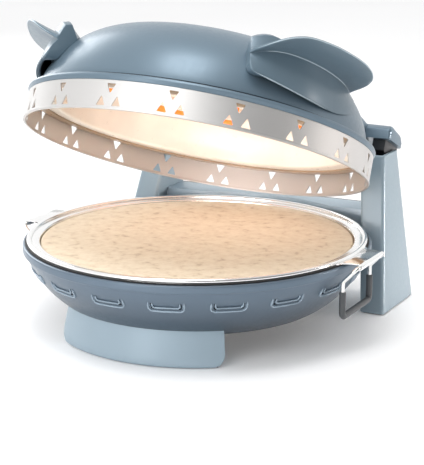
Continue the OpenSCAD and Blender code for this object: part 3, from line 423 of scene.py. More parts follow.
MAT = {
    "dome_paint": paint("dome_paint", (0.132, 0.192, 0.243)),
    # The bowl's paint has painted shade, darker towards its bottom.
    "bowl_paint": paint("bowl_paint", (0.112, 0.156, 0.205), painted_shade_heights=(0.028, 0.085)),
    # Lighter, glossier blue of the louvre beads: a painted highlight.
    "bead_highlight_paint": paint("bead_highlight_paint", (0.27, 0.345, 0.415), rough=(0.2, 0.26), fleck=0.02),
    # Lighter blue of the wings' raised lines: a painted highlight.
    "wing_highlight_paint": paint("wing_highlight_paint", (0.42, 0.51, 0.56), metal=0.1, fleck=0.02),
    "stand_paint": paint("stand_paint", (0.325, 0.42, 0.49), metal=0.15),
    "wing_paint": paint("wing_paint", (0.122, 0.18, 0.225), metal=0.2),
    "chrome": metal("chrome", (0.90, 0.90, 0.895), rough=(0.10, 0.17)),
    "column_paint": paint("column_paint", (0.27, 0.35, 0.405), metal=0.2),
    "band": metal("band_steel", (0.64, 0.63, 0.62), rough=(0.48, 0.54), scratch=0.03),
    "wire": metal("bright_wire", (0.83, 0.83, 0.82), rough=(0.14, 0.22), stretch=(1, 1, 1), scale=120),
    "zinc_steel": metal("zinc_steel", (0.62, 0.62, 0.61), rough=(0.28, 0.4)),
    "pan_steel": metal("aluminised_steel", (0.66, 0.66, 0.65), rough=(0.3, 0.45)),
    "black_rubber": plastic("black_rubber", (0.009, 0.009, 0.01), rough=(0.6, 0.75), grain=0.4),
    "black_plastic": plastic("black_plastic", (0.022, 0.022, 0.024), rough=(0.3, 0.36), grain=0.05, coat=0.15),
    "grip": plastic("grip_sleeve", (0.065, 0.07, 0.075), rough=(0.32, 0.42), grain=0.3),
    "stone": stone_material(),
    "cream_enamel": enamel("cream_enamel", (0.87, 0.835, 0.76)),
    # Brown of the liner's bead: partly its own colour, partly painted shade and a painted reflection of the element's
    # glow.
    "brown_enamel": enamel("brown_enamel", (0.42, 0.30, 0.20), 0.8),
    "glowing_element": glowing(),
    "element": metal("sheath", (0.17, 0.15, 0.14), rough=(0.4, 0.6)),
    "wool": plastic("mineral_wool", (0.5, 0.44, 0.3), rough=(0.9, 1.0), grain=1.0),
    "brass": metal("brass", (0.75, 0.55, 0.25), rough=(0.25, 0.35)),
    "ceramic": plastic("steatite", (0.75, 0.72, 0.66), rough=(0.5, 0.6)),
    "red_lens": plastic("red_lens", (0.65, 0.05, 0.03), rough=(0.1, 0.16), grain=0.02, coat=0.5),
}
for part in frame["record"]["subparts"]:
    dress(NODES[part["node"]], MAT[part["material_slot"]], 28)


# ------------------------------------------------------------------ sizes shared with the solids
(_, _, FLOOR_Z), (RIM_R, _, RIM_Z) = (mm(corner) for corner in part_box("base_bowl"))
RIM_BAND_LOW = RIM_Z - 8
BELLY_R, BELLY_Z, BOWL_WALL = 97.0, RIM_Z + 24, 1.5
BELLY_X = RIM_R - 2.7 - math.sqrt(BELLY_R ** 2 - (BELLY_Z - RIM_BAND_LOW) ** 2)
BAND_LOW, BAND_HEIGHT = 92.6, 27.5
SHOULDER_R, SHOULDER_Z = 89.5, 111.4
DOME_LOW_R, DOME_LOW_Z = 165.4, 128.1
SHOULDER_X = DOME_LOW_R - math.sqrt(SHOULDER_R ** 2 - (SHOULDER_Z - DOME_LOW_Z) ** 2)
CROWN_R = 536.0
CROWN_A = math.degrees(math.asin(SHOULDER_X / (CROWN_R - SHOULDER_R)))
CROWN_Z = SHOULDER_Z - (CROWN_R - SHOULDER_R) * math.cos(math.radians(CROWN_A))

# Louvres and hole clusters stand equally round the axis, from the same angle; degrees from +X
ROUND_START, ROUND_STEP, ROUND_COUNT = -92, 20, 18
ROUND_ANGLES = [math.radians(ROUND_START + ROUND_STEP * i) for i in range(ROUND_COUNT)]


def belly(z):
    """Outside radius of the bowl at a height."""
    return BELLY_X + math.sqrt(max(0, BELLY_R ** 2 - (BELLY_Z - z) ** 2))


def dome(z):
    """Outside radius of the dome at a height."""
    return SHOULDER_X + math.sqrt(max(0, SHOULDER_R ** 2 - (z - SHOULDER_Z) ** 2))


def belly_angle(z, r=BELLY_R):
    return math.degrees(math.asin((z - BELLY_Z) / r))


def dome_curve(inset, low_z, side_steps=26, top_steps=14):
    """Half section of the dome set in by a thickness, from a height up to the axis."""
    r = SHOULDER_R - inset
    start = math.degrees(math.asin((low_z - SHOULDER_Z) / r))
    side = arc(SHOULDER_X, SHOULDER_Z, r, start, 90 - CROWN_A, side_steps)
    top = arc(0, CROWN_Z, CROWN_R - inset, 90 - CROWN_A, 90, top_steps)[1:-1]
    return side + top + [(0.0, CROWN_Z + CROWN_R - inset)]


# ------------------------------------------------------------------ bowl
LOUVRE_W, LOUVRE_H, LOUVRE_CUT, LOUVRE_Z = 33.0, 8.5, 2.9, 61.5
SLIT = 0.9


def louvre_outline():
    """U-shaped slit under a louvre's tongue, as (side, height above LOUVRE_Z)."""
    outline = []
    for d, order in ((LOUVRE_CUT, 1), (LOUVRE_CUT - SLIT, -1)):
        x, corner = LOUVRE_W / 2 - d, 3.4 - d / 2
        side = rounded([(-x, LOUVRE_H, 0), (-x, d, corner), (x, d, corner), (x, LOUVRE_H, 0)], 1, 6)
        outline += side[::order]
    return outline


def press_tongues(o):
    """Leans each tongue inwards, most at its free lower edge."""
    top, depth = LOUVRE_Z + LOUVRE_H + 1.6, 0.9
    for v in o.data.vertices:
        x, y, z = v.co
        out = math.hypot(x, y)
        if LOUVRE_Z + LOUVRE_CUT - 0.05 < z < top and out > 140:
            a = math.atan2(y, x)
            i = round((math.degrees(a) - ROUND_START) / ROUND_STEP)
            off = out * math.sin(a - math.radians(ROUND_START + ROUND_STEP * i))
            if abs(off) < LOUVRE_W / 2 - LOUVRE_CUT + 0.05:
                k = 1 - depth * (top - z) / (LOUVRE_H + 1.6 - LOUVRE_CUT) / out
                v.co.x, v.co.y = x * k, y * k


def louvre_bead(a, off, top, size):
    """Raised line round a louvre; off is how far it lies inside the louvre's edge."""
    w, r, low = LOUVRE_W / 2 - off, 4.4 - off / 2, LOUVRE_Z + off
    leg_low = low + r
    path = [(-w, top - (top - leg_low) * k / 4) for k in range(4)]
    path += arc(-w + r, leg_low, r, 180, 270, 8) + [(q, low) for q in (-8, -4, 0, 4, 8)]
    path += arc(w - r, leg_low, r, 270, 360, 8) + [(w, leg_low + (top - leg_low) * (k + 1) / 4) for k in range(4)]
    pts = [turned(q, math.sqrt(belly(z) ** 2 - q * q) + 0.15, z, a) for q, z in path]
    rad = [0.2, 0.6 * size, 0.9 * size] + [size] * (len(pts) - 6) + [0.9 * size, 0.6 * size, 0.2]
    return new_object("b", *pipe(pts, rad, 10))


def bowl():
    hole_r, floor_r, inner_z, inner_r = 90.0, 126.0, FLOOR_Z + BOWL_WALL, BELLY_R - BOWL_WALL
    high = belly_angle(RIM_BAND_LOW - 0.9)
    outer = arc(BELLY_X, BELLY_Z, BELLY_R, belly_angle(FLOOR_Z), high, 60)
    inner = arc(BELLY_X, BELLY_Z, inner_r, belly_angle(inner_z, inner_r), high, 60)
    lip = [(172.4, 80.6), (173.2, 80.95), (174.2, 81.15), (174.75, 81.6), (RIM_R, 82.4), (RIM_R, 84.2),
           (RIM_R, 86.6), (174.9, 87.7), (174.5, 88.5), (173.8, 88.9), (172.8, RIM_Z)]
    flange = [(163.0, RIM_Z), (163.0, 87.5), (171.5, 87.5), (172.4, 86.0), (171.4, 82.0)]
    prof = [(hole_r, FLOOR_Z), (floor_r, FLOOR_Z)] + outer + lip + flange
    prof += inner[::-1][1:] + [(floor_r, inner_z), (hole_r, inner_z)]
    o = new_object("bowl_shell", *revolve(prof, 360))
    cutters, cut_from, cut_to = [], 150, 180
    for a in ROUND_ANGLES:
        verts, faces = prism(louvre_outline(), cut_from, cut_to)
        cutters.append(new_object("c", [turned(s, h, LOUVRE_Z + z, a) for s, z, h in verts], faces))
    cut(o, join(*cutters))
    press_tongues(o)
    finish_piece(o, "base", MAT["bowl_paint"], ["base_bowl"], angle=26)
    # Two raised beads round each louvre, in the lighter paint: painted highlights along the louvres.
    lines = (-0.3, 71.2, 1.15), (LOUVRE_CUT + 0.75, 70.4, 0.95)
    beads = [louvre_bead(a, *line) for a in ROUND_ANGLES for line in lines]
    finish_piece(join(*beads), "base", MAT["bead_highlight_paint"], angle=60).name = "louvre_beads"


def gasket():
    inner, outer = 164, 172.5
    section = rounded([(inner, RIM_Z), (outer, RIM_Z), (outer, RIM_Z + 1.4), (inner, RIM_Z + 1.5)], 0.6, 4)
    o = new_object("gasket", *revolve(section, 240))
    finish_piece(o, "base", MAT["black_rubber"], ["rim_gasket"], angle=50)


bowl()
gasket()


# ------------------------------------------------------------------ stone tray, stone and bails
# A bail turns at HEM_X and HEM_Z, in the rolled hem of a tab
TAB_HALF, TAB_LOW, TAB_TOP, TAB_END = 28, 90.5, 91.7, 178


def tray_dish():
    """Dish with a rolled outer edge, a flat rim, a wall and an inward ledge under the stone."""
    prof = [(170.4, 90.4)] + arc(168.4, 92.0, 2.5, -38, 200, 20) + [(165.4, 91.7), (160.6, 91.7)]
    prof += arc(160.0, 89.3, 2.4, 90, 180, 7) + [(157.6, 78.6)] + arc(156.0, 78.6, 1.6, 0, -90, 4)
    prof += [(128.6, 77.0), (128.1, 76.7), (128.1, 76.1), (128.6, 75.8), (156.8, 75.8)]
    prof += arc(156.8, 77.8, 2.0, -90, 0, 5) + [(158.8, 88.9)] + arc(160.4, 88.9, 1.6, 180, 90, 5)
    return new_object("tray_dish", *revolve(prof, 300))


def tab_fillet(side, end):
    """Flat piece that curves from the rim into the side of a tab."""
    root_x, root_y, far_y, reach, r = 166.0, 25, 37.0, 9.4, 9.0
    curve = [(TAB_END - reach * math.cos(b), far_y - r * math.sin(b)) for b in map(math.radians, (20, 40, 60, 80, 90))]
    outline = [(root_x, root_y), (root_x, far_y), (168.6, 35.0)] + curve + [(TAB_END, root_y)]
    return new_object("w", *prism([(side * x, end * y) for x, y in outline], TAB_LOW + 0.05, TAB_TOP - 0.02))


def tray():
    parts = [tray_dish()]
    hem_out, hem_in = 3.16, 2.08
    section = [(166.5, TAB_LOW), (166.5, TAB_TOP), (TAB_END, TAB_TOP)] + arc(HEM_X, HEM_Z, hem_out, 90, -165, 26)
    section += arc(HEM_X, HEM_Z, hem_in, -165, 90, 22) + [(TAB_END, TAB_LOW)]
    for side in (1, -1):
        tab = new_object("h", *prism([(side * x, z) for x, z in section], -TAB_HALF, TAB_HALF, "y"))
        parts.append(bevel(tab, 0.35, 2, 50))
        parts += [tab_fillet(side, end) for end in (1, -1)]
    finish_piece(join(*parts), "base", MAT["chrome"], ["stone_tray"], angle=40)


tray()


def stone():
    (_, _, low), (r, _, top) = (mm(corner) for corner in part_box("pizza_stone"))
    low_r, top_r = 1.8, 2.5
    prof = [(0, low), (r - top_r, low)] + arc(r - low_r, low + low_r, low_r, -67, 0, 4)
    prof += arc(r - top_r, top - top_r, top_r, 0, 90, 7) + [(150.5, top), (100, top), (50, top), (0, top)]
    finish_piece(new_object("stone", *revolve(prof, 240)), "base", MAT["stone"], ["pizza_stone"], angle=40)


stone()


def wire_bend(p, t0, t1, angle, n, r=5.0):
    """Points of a bend from direction t0 to t1, starting at p."""
    p, t0, t1, a = Vector(p), Vector(t0), Vector(t1), math.radians(angle)
    side = (t1 - math.cos(a) * t0) / math.sin(a)
    return [p + r * (math.sin(a * i / n) * t0 + (1 - math.cos(a * i / n)) * side) for i in range(n + 1)]


def mirrored(points):
    return [Vector((p.x, -p.y, p.z)) for p in points[::-1]]


def bail(side, body, nodes):
    lean, half, upper_leg, lower_leg = 44, 29, 13, 27.5
    down = (0, 0, -1)
    d = Vector((-math.sin(math.radians(lean)), 0, -math.cos(math.radians(lean))))
    top = wire_bend((HEM_X, half, HEM_Z), (0, 1, 0), d, 90, 10)
    kink = wire_bend(top[-1] + upper_leg * d, d, down, lean, 8)
    low = wire_bend(kink[-1] + Vector((0, 0, -lower_leg)), down, (0, -1, 0), 90, 12)
    path = top + kink + low
    wire = new_object(nodes[0] + "_wire", *pipe(path + mirrored(path), 2.0, 20, True))
    finish_piece(wire, body, MAT["wire"], nodes[:1], flip=side < 0, angle=60)
    start, grip_r, ends = low[0] + Vector((0, 0, 20)), 3.2, [2.15, 2.7, 3.0, 3.15, 3.2]
    g = [start + Vector((0, 0, -0.25 * k)) for k in range(5)]
    g += [low[0] + Vector((0, 0, z)) for z in (16, 12, 8, 4)] + low
    g += [Vector((low[-1].x, y, low[-1].z)) for y in (20, 10, 0)]
    g += mirrored(g[:-1])
    rad = ends + [grip_r] * (len(g) - 10) + ends[::-1]
    sleeve = new_object(nodes[1] + "_sleeve", *pipe(g, rad, 24))
    finish_piece(sleeve, body, MAT["grip"], nodes[1:], flip=side < 0, angle=50)


bail(1, "right_bail_body", ["right_bail", "right_bail_grip"])
bail(-1, "left_bail_body", ["left_bail", "left_bail_grip"])


# ------------------------------------------------------------------ lid shell
def band():
    wall = [(172.2, 94.8), (172.2, 118.9), (166.4, 118.9), (166.4, 120.1),
            (173.0, 120.1), (173.4, 119.7), (173.4, 95.6)]
    rolled = [(173.45, 95.2), (173.9, 94.9), (174.0, 94.4), (174.0, 93.3), (173.8, 92.8), (173.3, 92.6), (172.0, 92.6),
              (171.5, 92.8), (171.4, 93.3), (171.4, 94.2), (171.7, 94.7)]
    o = new_object("band_shell", *revolve(wall + rolled, 360))
    mid, half = BAND_LOW + BAND_HEIGHT / 2, 4.75
    cutters, cut_from, cut_to = [], 165, 180
    clusters = ((-8.25, -5.6, 1), (8.25, -5.6, 1), (0, 5.6, -1))  # side, height and way up of each triangle
    for a in ROUND_ANGLES:
        for s, z, k in clusters:
            low, high = mid + z - k * half, mid + z + k * half
            verts, faces = prism(rounded([(s - half, low), (s + half, low), (s, high)], 0.7, 4), cut_from, cut_to)
            cutters.append(new_object("c", [turned(q, h, w, a) for q, w, h in verts], faces))
    cut(o, join(*cutters))
    finish_piece(o, "lid", MAT["band"], ["lid_band"], True, angle=24)


def dome_shell():
    lip = rounded([(163.6, 120.1, 0), (173.5, 120.1, 0.4), (173.7, 120.9, 0.8), (175.0, 124.0, 1.4),
                   (173.8, 126.4, 1.4), (170.4, 126.9, 1.0), (163.0, 126.9, 0.2), (163.0, 129.6, 0.2),
                   (165.2, 129.6, 0.5)], 1, 5)
    prof = lip + dome_curve(0, 130.2) + dome_curve(4.2, 127.5)[::-1]
    o = new_object("dome_shell", *revolve(prof, 300))
    finish_piece(o, "lid", MAT["dome_paint"], ["lid_dome"], True, angle=38)
    # Black ring at the bottom of the groove above the band: painted shade for the groove's shadow, drawn as a rubber
    # seal.
    groove = [(162.8, 127.0), (165.9, 127.0), (165.6, 127.6), (163.6, 129.5), (162.8, 129.5)]
    finish_piece(new_object("groove_shade_ring", *revolve(groove)), "lid", MAT["black_rubber"], (), True, angle=50)


def liner():
    inset = 19  # of the liner's inner face from the outside of the dome
    r = SHOULDER_R - inset
    low = math.degrees(math.asin((121.5 - SHOULDER_Z) / r))
    prof = [(172.05, 118.9), (172.05, 117.7), (151.5, 117.7)] + arc(151.0, 121.2, 3.5, -90, -180, 6)[1:]
    prof += arc(SHOULDER_X, SHOULDER_Z, r, low, 90 - CROWN_A, 26)[1:]
    prof += arc(0, CROWN_Z, CROWN_R - inset, 90 - CROWN_A, 90, 12)[1:-1] + [(0, CROWN_Z + CROWN_R - inset)]
    prof += dome_curve(17.8, 119.6)[::-1]
    finish_piece(new_object("liner_shell", *revolve(prof)), "lid", MAT["cream_enamel"], ["lid_liner"], True, angle=40)
    # The bead's brown is partly the ring's own colour, partly painted shade at the flange's edge and a painted
    # reflection of the element's glow.
    bead = rounded([(160.4, 116.2), (171.8, 116.2), (171.8, 117.7), (160.4, 117.7)], 0.6, 4)
    finish_piece(new_object("liner_bead", *revolve(bead)), "lid", MAT["brown_enamel"], ["liner_ring"], True, angle=50)


band()
dome_shell()
liner()


# ------------------------------------------------------------------ wing handles
# A wing runs round the dome, and t goes from 0 at its front end to 1 at its rear end. It has an upper blade that
# rises outwards from a crease, a lower blade that falls from the crease to the lower edge, and a fin at the front.
WING_START, WING_TURN, BLADE = 38.5, 55, 4


def wing_angle(t):
    return math.radians(WING_START + WING_TURN * t)


def crease_h(t):
    return 175.5 - (9.5 * (1 - t / 0.28) ** 2 if t < 0.28 else 7 * (t - 0.28))


def crease_r(t):
    front, rear = max(0, 1 - t / 0.14) ** 1.5, max(0, (t - 0.35) / 0.65) ** 1.25
    return dome(crease_h(t)) + 21 * (1 - 0.27 * front - 0.92 * rear)


def lower_edge(t):
    """Radius and height of the lower edge."""
    h = 136 + (12.5 * ((0.58 - t) / 0.58) ** 1.6 if t < 0.58 else 22 * ((t - 0.58) / 0.42) ** 2)
    h += 4.5 * (1 - math.sqrt(1 - max(0, 1 - t / 0.03) ** 2))
    return dome(h) + 1.4 + 13 * max(0, 1 - t / 0.62), h


def wing_points(t):
    """Section of a wing, as (radius, height, corner), from the lower edge up the outside and down the inside."""
    ch, cr = crease_h(t), crease_r(t)
    er, eh = lower_edge(t)
    f = 1 - abs(2 * t - 1) ** (4 if t < 0.5 else 3.2)
    uh = ch + 1.5 + 11 * f ** (2.5 if t < 0.5 else 1) - 9 * max(0, t - 0.45) * min(1, 6 * (1 - t))
    ur = cr + 1.2 + (189 - cr - 1.2) * f
    fin = 13 * max(0, 1 - ((t - 0.055) / 0.24) ** 2)
    b = BLADE * (1 - 0.6 * (t - 0.8) / 0.2 if t > 0.8 else 1)
    closed = max(0, min(1, (0.09 - t) / 0.04))  # 1 at the front end, 0 along the finger gap
    lean = min(1, fin / 6)
    ml, mlh, mu, muh = (cr + er) / 2, (ch + eh) / 2, (cr + ur) / 2, (ch + uh) / 2
    top, root = ch + b + 1, dome(ch - 5) + 0.2

    def inner(r, h):
        """Inside of the lower blade, down on the dome where the front end is closed."""
        low = dome(h) + 0.3
        return low + (1 - closed) * max(0.2, r - low), h

    return [(er, eh, 1.6), (ml + 1.2, mlh, 60), (cr, ch, 0.7), (mu, muh - 0.6, 60), (ur, uh, 0.9),
            (ur - 0.6, uh + b * 0.6, 0.9), (mu - 1, muh + b * 0.9, 60), (cr - 0.5, top, 2.0),
            (cr - 1 - 3.5 * lean, top + 0.85 * fin, 1.2), (cr - 1.6 - 9.4 * lean, top + 1.05 * fin, 1.2),
            (dome(top) + 0.25, top, 0.5), (root, ch - 5, 0.5), (*inner(cr - b - 1.2, ch - 6.5), 1.5),
            (*inner(ml + 0.8 - b, mlh), 60), (*inner(er - b * 0.9, eh + 0.6), 1.2)]


CREASE, LOWER, TIP = range(3)  # the lines that wing_lines() gives, in its order


def wing_lines(t):
    """Crease, lower edge and tip of a wing, as (radius, height)."""
    low, _, crease, _, tip = wing_points(t)[:5]
    return (crease[0] + 0.1, crease[1]), (low[0] - 0.1, low[1] + 0.4), (tip[0] - 0.4, tip[1] + 0.9)


def wing_shell(name, steps=96):
    verts = []
    for i in range(steps + 1):
        section = rounded(wing_points(i / steps), 1, 4)
        verts += [front_point(r, z, wing_angle(i / steps)) for r, z in section]
    n = len(section)
    faces = skin(steps + 1, n) + [tuple(range(n))[::-1], tuple(range(steps * n, (steps + 1) * n))]
    return bevel(new_object(name, verts, faces), 0.8, 3, 60)


def wing_line(kind, t0, t1, size, steps=80):
    """Fine raised line along one of wing_lines(), thin at both ends; it is painted lighter than the wing, as a painted
    highlight.
    """
    pts, rad = [], []
    for i in range(steps + 1):
        t = t0 + (t1 - t0) * i / steps
        pts.append(front_point(*wing_lines(t)[kind], wing_angle(t)))
        rad.append(size * min(1, 0.15 + 6 * min(i, steps - i) / steps))
    return new_object("l", *pipe(pts, rad, 8))


def painted_gap_shade(name, steps=60):
    """Black sheet on the inside of the finger gap: painted shade that stands in for the gap's deep shadow."""
    verts, start, length = [], 0.098, 0.60
    for i in range(steps + 1):
        t = start + length * i / steps
        root, crease, mid, edge = wing_points(t)[-4:]
        for depth in (0.12, 0.5):
            verts += [front_point(r, z, wing_angle(t)) for r, z in (
                (edge[0] - depth, edge[1] + 0.9), (mid[0] - depth, mid[1]),
                (crease[0] - depth, crease[1] - depth), (root[0] + 0.3, root[1] - depth))]
    # Each row holds the outer points 0...3 and the inner points 4...7
    ring, last = (0, 1, 2, 3, 7, 6, 5, 4), 8 * steps
    faces = [(i * 8 + k, i * 8 + l, i * 8 + l + 8, i * 8 + k + 8)
             for i in range(steps) for k, l in zip(ring, ring[1:] + ring[:1])]
    faces += [(k, k + 4, k + 5, k + 1) for k in range(3)]
    faces += [(last + k + 1, last + k + 5, last + k + 4, last + k) for k in range(3)]
    return new_object(name, verts, faces)


def wing(side, node):
    flip = side < 0
    finish_piece(wing_shell(node + "_shell"), "lid", MAT["wing_paint"], [node], True, flip=flip, angle=42)
    # Raised lines along the crease, lower edge and tip, in the lighter paint: painted highlights.
    lines = (CREASE, 0.012, 0.93, 0.55), (LOWER, 0.03, 0.56, 0.6), (TIP, 0.02, 0.98, 0.6)
    edges = join(*(wing_line(*line) for line in lines))
    finish_piece(edges, "lid", MAT["wing_highlight_paint"], (), True, flip=flip, angle=60)
    edges.name = node + "_highlight_lines"
    # Black sheet inside the finger gap: painted shade.
    shade_sheet = painted_gap_shade(node + "_shade_sheet")
    finish_piece(shade_sheet, "lid", MAT["black_plastic"], (), True, flip=flip, angle=60)


wing(1, "right_wing_handle")
wing(-1, "left_wing_handle")


# ------------------------------------------------------------------ front foot and columns
FOOT_R, FOOT_HALF, FOOT_LEAN, FOOT_THICK = 146.0, math.radians(38.5), math.radians(13), 30
FOOT_LOW, FOOT_TOP, FOOT_CORNER = 0.7, 44.0, 12
COLUMN_H = mm(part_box("right_column")[1])[2]
COLUMN_WALL, PAD_INSET = 3.0, 3.0


def foot_columns(half, steps=96):
    """Places across the front of the foot and the height of its lower edge there, with rounded corners."""
    cols = []
    for i in range(steps + 1):
        s = -half * math.cos(math.pi * i / steps)
        e = max(0.0, abs(s) - (half - FOOT_CORNER))
        cols.append((s, FOOT_LOW + FOOT_CORNER - math.sqrt(max(0, FOOT_CORNER ** 2 - e * e))))
    return cols


def foot():
    half, edge = FOOT_HALF * FOOT_R, 2.4
    under = [(FOOT_THICK, 2.0), (29.4, 0.8), (28, 0.0), (3, 0.0), (1.4, 0.35), (0.5, 1.1), (0, edge)]
    cols, verts = foot_columns(half), []
    for s, low in cols:
        line = [(depth, low + rise) for depth, rise in under]
        line += [(0, low + edge + (FOOT_TOP - low - edge) * k / 6) for k in range(1, 7)] + [(FOOT_THICK, FOOT_TOP)]
        for depth, z in line:
            a = s * (1 - (edge - min(edge, depth)) / half * 0.25) / FOOT_R
            lean = (z - FOOT_LOW) * math.tan(FOOT_LEAN) * (1 if depth < 15 else 0.4)
            verts.append(front_point(FOOT_R - depth - lean, z, a))
    m = len(line)
    faces = skin(len(cols), m) + [tuple(range(m)), tuple(range(len(verts) - m, len(verts)))[::-1]]
    o = new_object("foot_shell", verts, faces)
    inside = [(0, 28.1), (127.4, 28.1)] + [(belly(z), z) for z in range(29, 61)] + [(100, 60.0), (0, 60.0)]
    cut(o, new_object("c", *revolve(inside)))
    finish_piece(o, "base", MAT["stand_paint"], ["front_foot"], angle=40)


def pads():
    outline = []
    for r, s in ((141, 1), (121, -1)):
        outline += [front_point(r, 0, s * FOOT_HALF * 0.93 * (k / 12 - 1))[:2] for k in range(25)]
    parts = [new_object("p", *prism(outline, 0, 1.4))]
    for side in (1, -1):
        ring = [(side * p[0], p[1]) for p in column_ring(0, PAD_INSET)]
        parts.append(new_object("p", *prism(ring, 0, 1.6)))
    finish_piece(join(*parts), "base", MAT["black_rubber"], ["foot_pads"], angle=30).name = "pads"


def column_ring(z, inset, steps=10):
    """Outline of a column at a height: its outer and front faces lean in towards the top."""
    outer, front, rear = 162 - 22 * z / COLUMN_H, 105 + 47 * z / COLUMN_H, 198.0
    inner, round_r, small_r = outer - 27.0, 11.5, 4.0
    corners = [(outer - round_r, rear - round_r, round_r, 0), (inner + small_r, rear - small_r, small_r, 90),
               (inner + small_r, front + small_r, small_r, 180), (outer - small_r, front + small_r, small_r, 270)]
    pts = []
    for x, y, r, start in corners:
        rad = max(r - inset, 0.6)
        for k in range(steps + 1):
            a = math.radians(start + 90 * k / steps)
            pts.append((x + rad * math.cos(a), y + rad * math.sin(a), z))
    return pts


def column(side, node):
    outside = [(0.9, 1.0), (1.3, 0.35), (2.2, 0.05), (3.5, 0), (60, 0), (110, 0),
               (156.6, 0), (157.5, 0.25), (157.9, 0.8), (COLUMN_H, 1.5)]
    inside = [(COLUMN_H, COLUMN_WALL), (120, COLUMN_WALL), (3, COLUMN_WALL)]
    rings = [column_ring(z, inset) for z, inset in outside + inside]
    verts = [p for ring in rings for p in ring]
    o = new_object(node + "_shell", verts, skin(len(rings), len(rings[0]), True))
    slot_in, slot_out, slot_front, slot_low = 120.956, 137.06, 180, 130  # where the hinge block looks out
    slot = [(slot_in, slot_front), (slot_out, slot_front), (slot_out, 240), (slot_in, 240)]
    cut(o, new_object("c", *prism(slot, slot_low, 200)))
    finish_piece(o, "base", MAT["column_paint"], [node], flip=side < 0, angle=34)


column(1, "right_column")
column(-1, "left_column")
foot()
pads()


# ------------------------------------------------------------------ arms, caps and bevelled blocks
CAP_LOW, CAP_H = HINGE_Z + math.hypot(8, 18) + 1, 16.0


def hull_object(name, points):
    bm = bmesh.new()
    for p in points:
        bm.verts.new(p)
    res = bmesh.ops.convex_hull(bm, input=bm.verts)
    inside = {g for g in res["geom_interior"] + res["geom_unused"] if isinstance(g, bmesh.types.BMVert)}
    bmesh.ops.delete(bm, geom=list(inside), context="VERTS")
    me = bpy.data.meshes.new(name)
    bm.to_mesh(me)
    bm.free()
    o = bpy.data.objects.new(name, me)
    SCENE.collection.objects.link(o)
    return o


def ball(x, y, z, r, n=24, m=12):
    """Points of a ball, for a hull's rounded corner."""
    pts = []
    for b in (math.pi * (j / m - 0.5) for j in range(m + 1)):
        for a in (2 * math.pi * i / n for i in range(n)):
            pts.append((x + r * math.cos(a) * math.cos(b), y + r * math.sin(a) * math.cos(b), z + r * math.sin(b)))
    return pts


def disc(x, y, z, r, n=40):
    return [(x + r * math.cos(2 * math.pi * i / n), y + r * math.sin(2 * math.pi * i / n), z) for i in range(n)]


def cap(name):
    """Hinge cap: the hull of its rounded corners, low at the rear."""
    z, h, front, rear, outer, inner = CAP_LOW, CAP_H, 152.0, 198.0, 141.0, 104.5
    pts = disc(inner, front + 4, z, 4) + disc(outer - 4, front + 4, z, 4)
    pts += ball(inner, front + 4, z + h - 7, 4) + ball(outer - 4, front + 4, z + h - 7.5, 4)
    pts += ball(inner, front + 8, z + h - 4.2, 4.2) + ball(outer - 5, front + 8.5, z + h - 5.4, 5)
    pts += disc(inner, rear - 4, z, 4)
    pts += ball(inner, rear - 10, z + h * 0.85 - 4, 4) + ball(inner, rear - 4, z + h * 0.45, 4)
    for back, top, r in ((10, z, 10), (10, z + h * 0.3, 10), (14, z + h * 0.8 - 3, 9.6),
                         (14, z + h * 0.8 - 1.2, 8.6), (14, z + h * 0.8, 7)):
        pts += disc(outer - 10, rear - back, top, r)
    return hull_object(name, pts)


def arm(side, node):
    z, h = CAP_LOW, CAP_H
    side_view = [(96, 147.9), (144, 149.8), (172, z), (195, z),
                 (195, z + h * 0.5), (178, z + h * 0.8), (142, 178), (96, 182)]
    web = new_object(node + "_web", *prism(rounded(side_view, 10, 6), 98.5, 112.5, "x"))
    bevel(web, 2.2, 4, 50)
    finish_piece(join(cap(node + "_cap"), web), "lid", MAT["dome_paint"], [node], True, flip=side < 0, angle=44)


arm(1, "right_lid_arm")
arm(-1, "left_lid_arm")


def soften(node, width, body):
    """Bevelled copy of a CAD node, in its place."""
    src = NODES[node]
    o = bpy.data.objects.new(node + "_soft", src.data.copy())
    o.matrix_world = src.matrix_world.copy()
    SCENE.collection.objects.link(o)
    bm = bmesh.new()
    bm.from_mesh(o.data)
    bmesh.ops.remove_doubles(bm, verts=bm.verts, dist=1e-6)
    bmesh.ops.dissolve_limit(bm, angle_limit=math.radians(1.0), verts=bm.verts, edges=bm.edges)
    bm.to_mesh(o.data)
    bm.free()
    bevel(o, width / 1000)
    dress(o, src.data.materials[0], 38)
    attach(o, body)
    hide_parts(node)


for node, width, body in (
        ("rear_bridge", 1.2, "base"), ("rear_cover", 0.6, "base"), ("left_hinge_block", 0.5, "base"),
        ("right_hinge_block", 0.5, "base"), ("left_knuckle", 1.0, "lid"), ("right_knuckle", 1.0, "lid"),
        ("control_knob", 0.5, "knob"), ("cord_gland", 0.5, "base"), ("bowl_brackets", 0.6, "base"),
        ("bottom_cover", 0.5, "base"), ("terminal_block", 0.4, "base")):
    soften(node, width, body)


# ------------------------------------------------------------------ stage and light
def stage():
    half, z = 6, -0.0002
    corners = [(-half, -half, z), (half, -half, z), (half, half, z), (-half, half, z)]
    floor = new_object("floor", corners, [(0, 1, 2, 3)])
    m = Nodes("floor_white")
    m.set(Base_Color=(0.93, 0.93, 0.935, 1), Roughness=0.7, Emission_Color=(1, 1, 1, 1), Emission_Strength=0.1)
    floor.data.materials.append(m.mat)


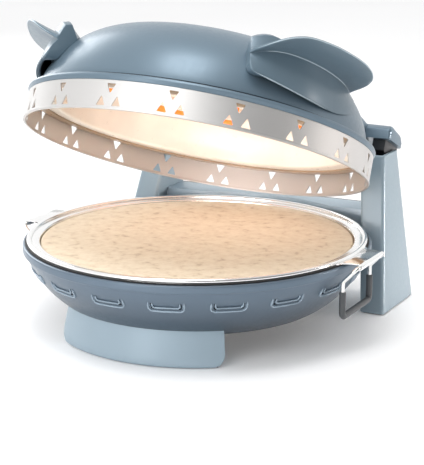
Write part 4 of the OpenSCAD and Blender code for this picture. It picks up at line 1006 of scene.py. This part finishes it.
def softbox(name, pos, aim, size, power, spread=180, colour=(1, 1, 1)):
    """Rectangular light: sizes in metres, power in watts and the spread of its beam in degrees."""
    l = bpy.data.lights.new(name, "AREA")
    l.shape, l.size, l.size_y, l.energy, l.color = "RECTANGLE", size[0], size[1], power, colour
    l.spread = math.radians(spread)
    o = bpy.data.objects.new(name, l)
    o.location = pos
    o.rotation_euler = (Vector(aim) - Vector(pos)).to_track_quat("-Z", "Y").to_euler()
    o.visible_camera = False
    SCENE.collection.objects.link(o)


def sky():
    """White surroundings, with a dim side to the right of the camera that gives the shells their shading."""
    world = bpy.data.worlds.new("studio")
    SCENE.world = world
    world.use_nodes = True
    t = world.node_tree
    bg = t.nodes["Background"]
    co, dot = t.nodes.new("ShaderNodeTexCoord"), t.nodes.new("ShaderNodeVectorMath")
    dot.operation = "DOT_PRODUCT"
    dot.inputs[1].default_value = Vector((0.93, -0.32, 0.15)).normalized()
    strength = t.nodes.new("ShaderNodeMapRange")
    strength.interpolation_type = "SMOOTHSTEP"
    set_range(strength, 0.25, 0.9, 1.05, 0.3)
    t.links.new(co.outputs["Generated"], dot.inputs[0])
    t.links.new(dot.outputs["Value"], strength.inputs["Value"])
    t.links.new(strength.outputs["Result"], bg.inputs["Strength"])
    bg.inputs["Color"].default_value = (1.0, 1.0, 1.0, 1)


def light():
    sky()
    SCENE.view_settings.view_transform = "Standard"
    warm, ember = (1.0, 0.9, 0.84), (1.0, 0.84, 0.78)
    softbox("key", (0.0, -1.55, 1.15), (0, 0, 0.14), (1.1, 0.7), 8)
    softbox("rim", (-1.7, 0.9, 0.9), (0, 0, 0.14), (0.8, 1.2), 12)
    softbox("edge", (1.7, 0.85, 0.25), (0.165, 0.21, 0.05), (0.3, 0.5), 0.4, 16, warm)
    softbox("kick", (-0.3, -1.25, 0.14), (0.02, 0.08, 0.25), (0.5, 0.3), 0.08, 36)
    softbox("glow", (0.0, -0.1, 0.135), (0.0, 0.15, 0.185), (0.24, 0.04), 0.11, 80, ember)
    softbox("crown", (0.07, -0.36, 1.5), (0.03, -0.08, 0.2), (0.6, 0.8), 1.1, 60)


stage()
light()
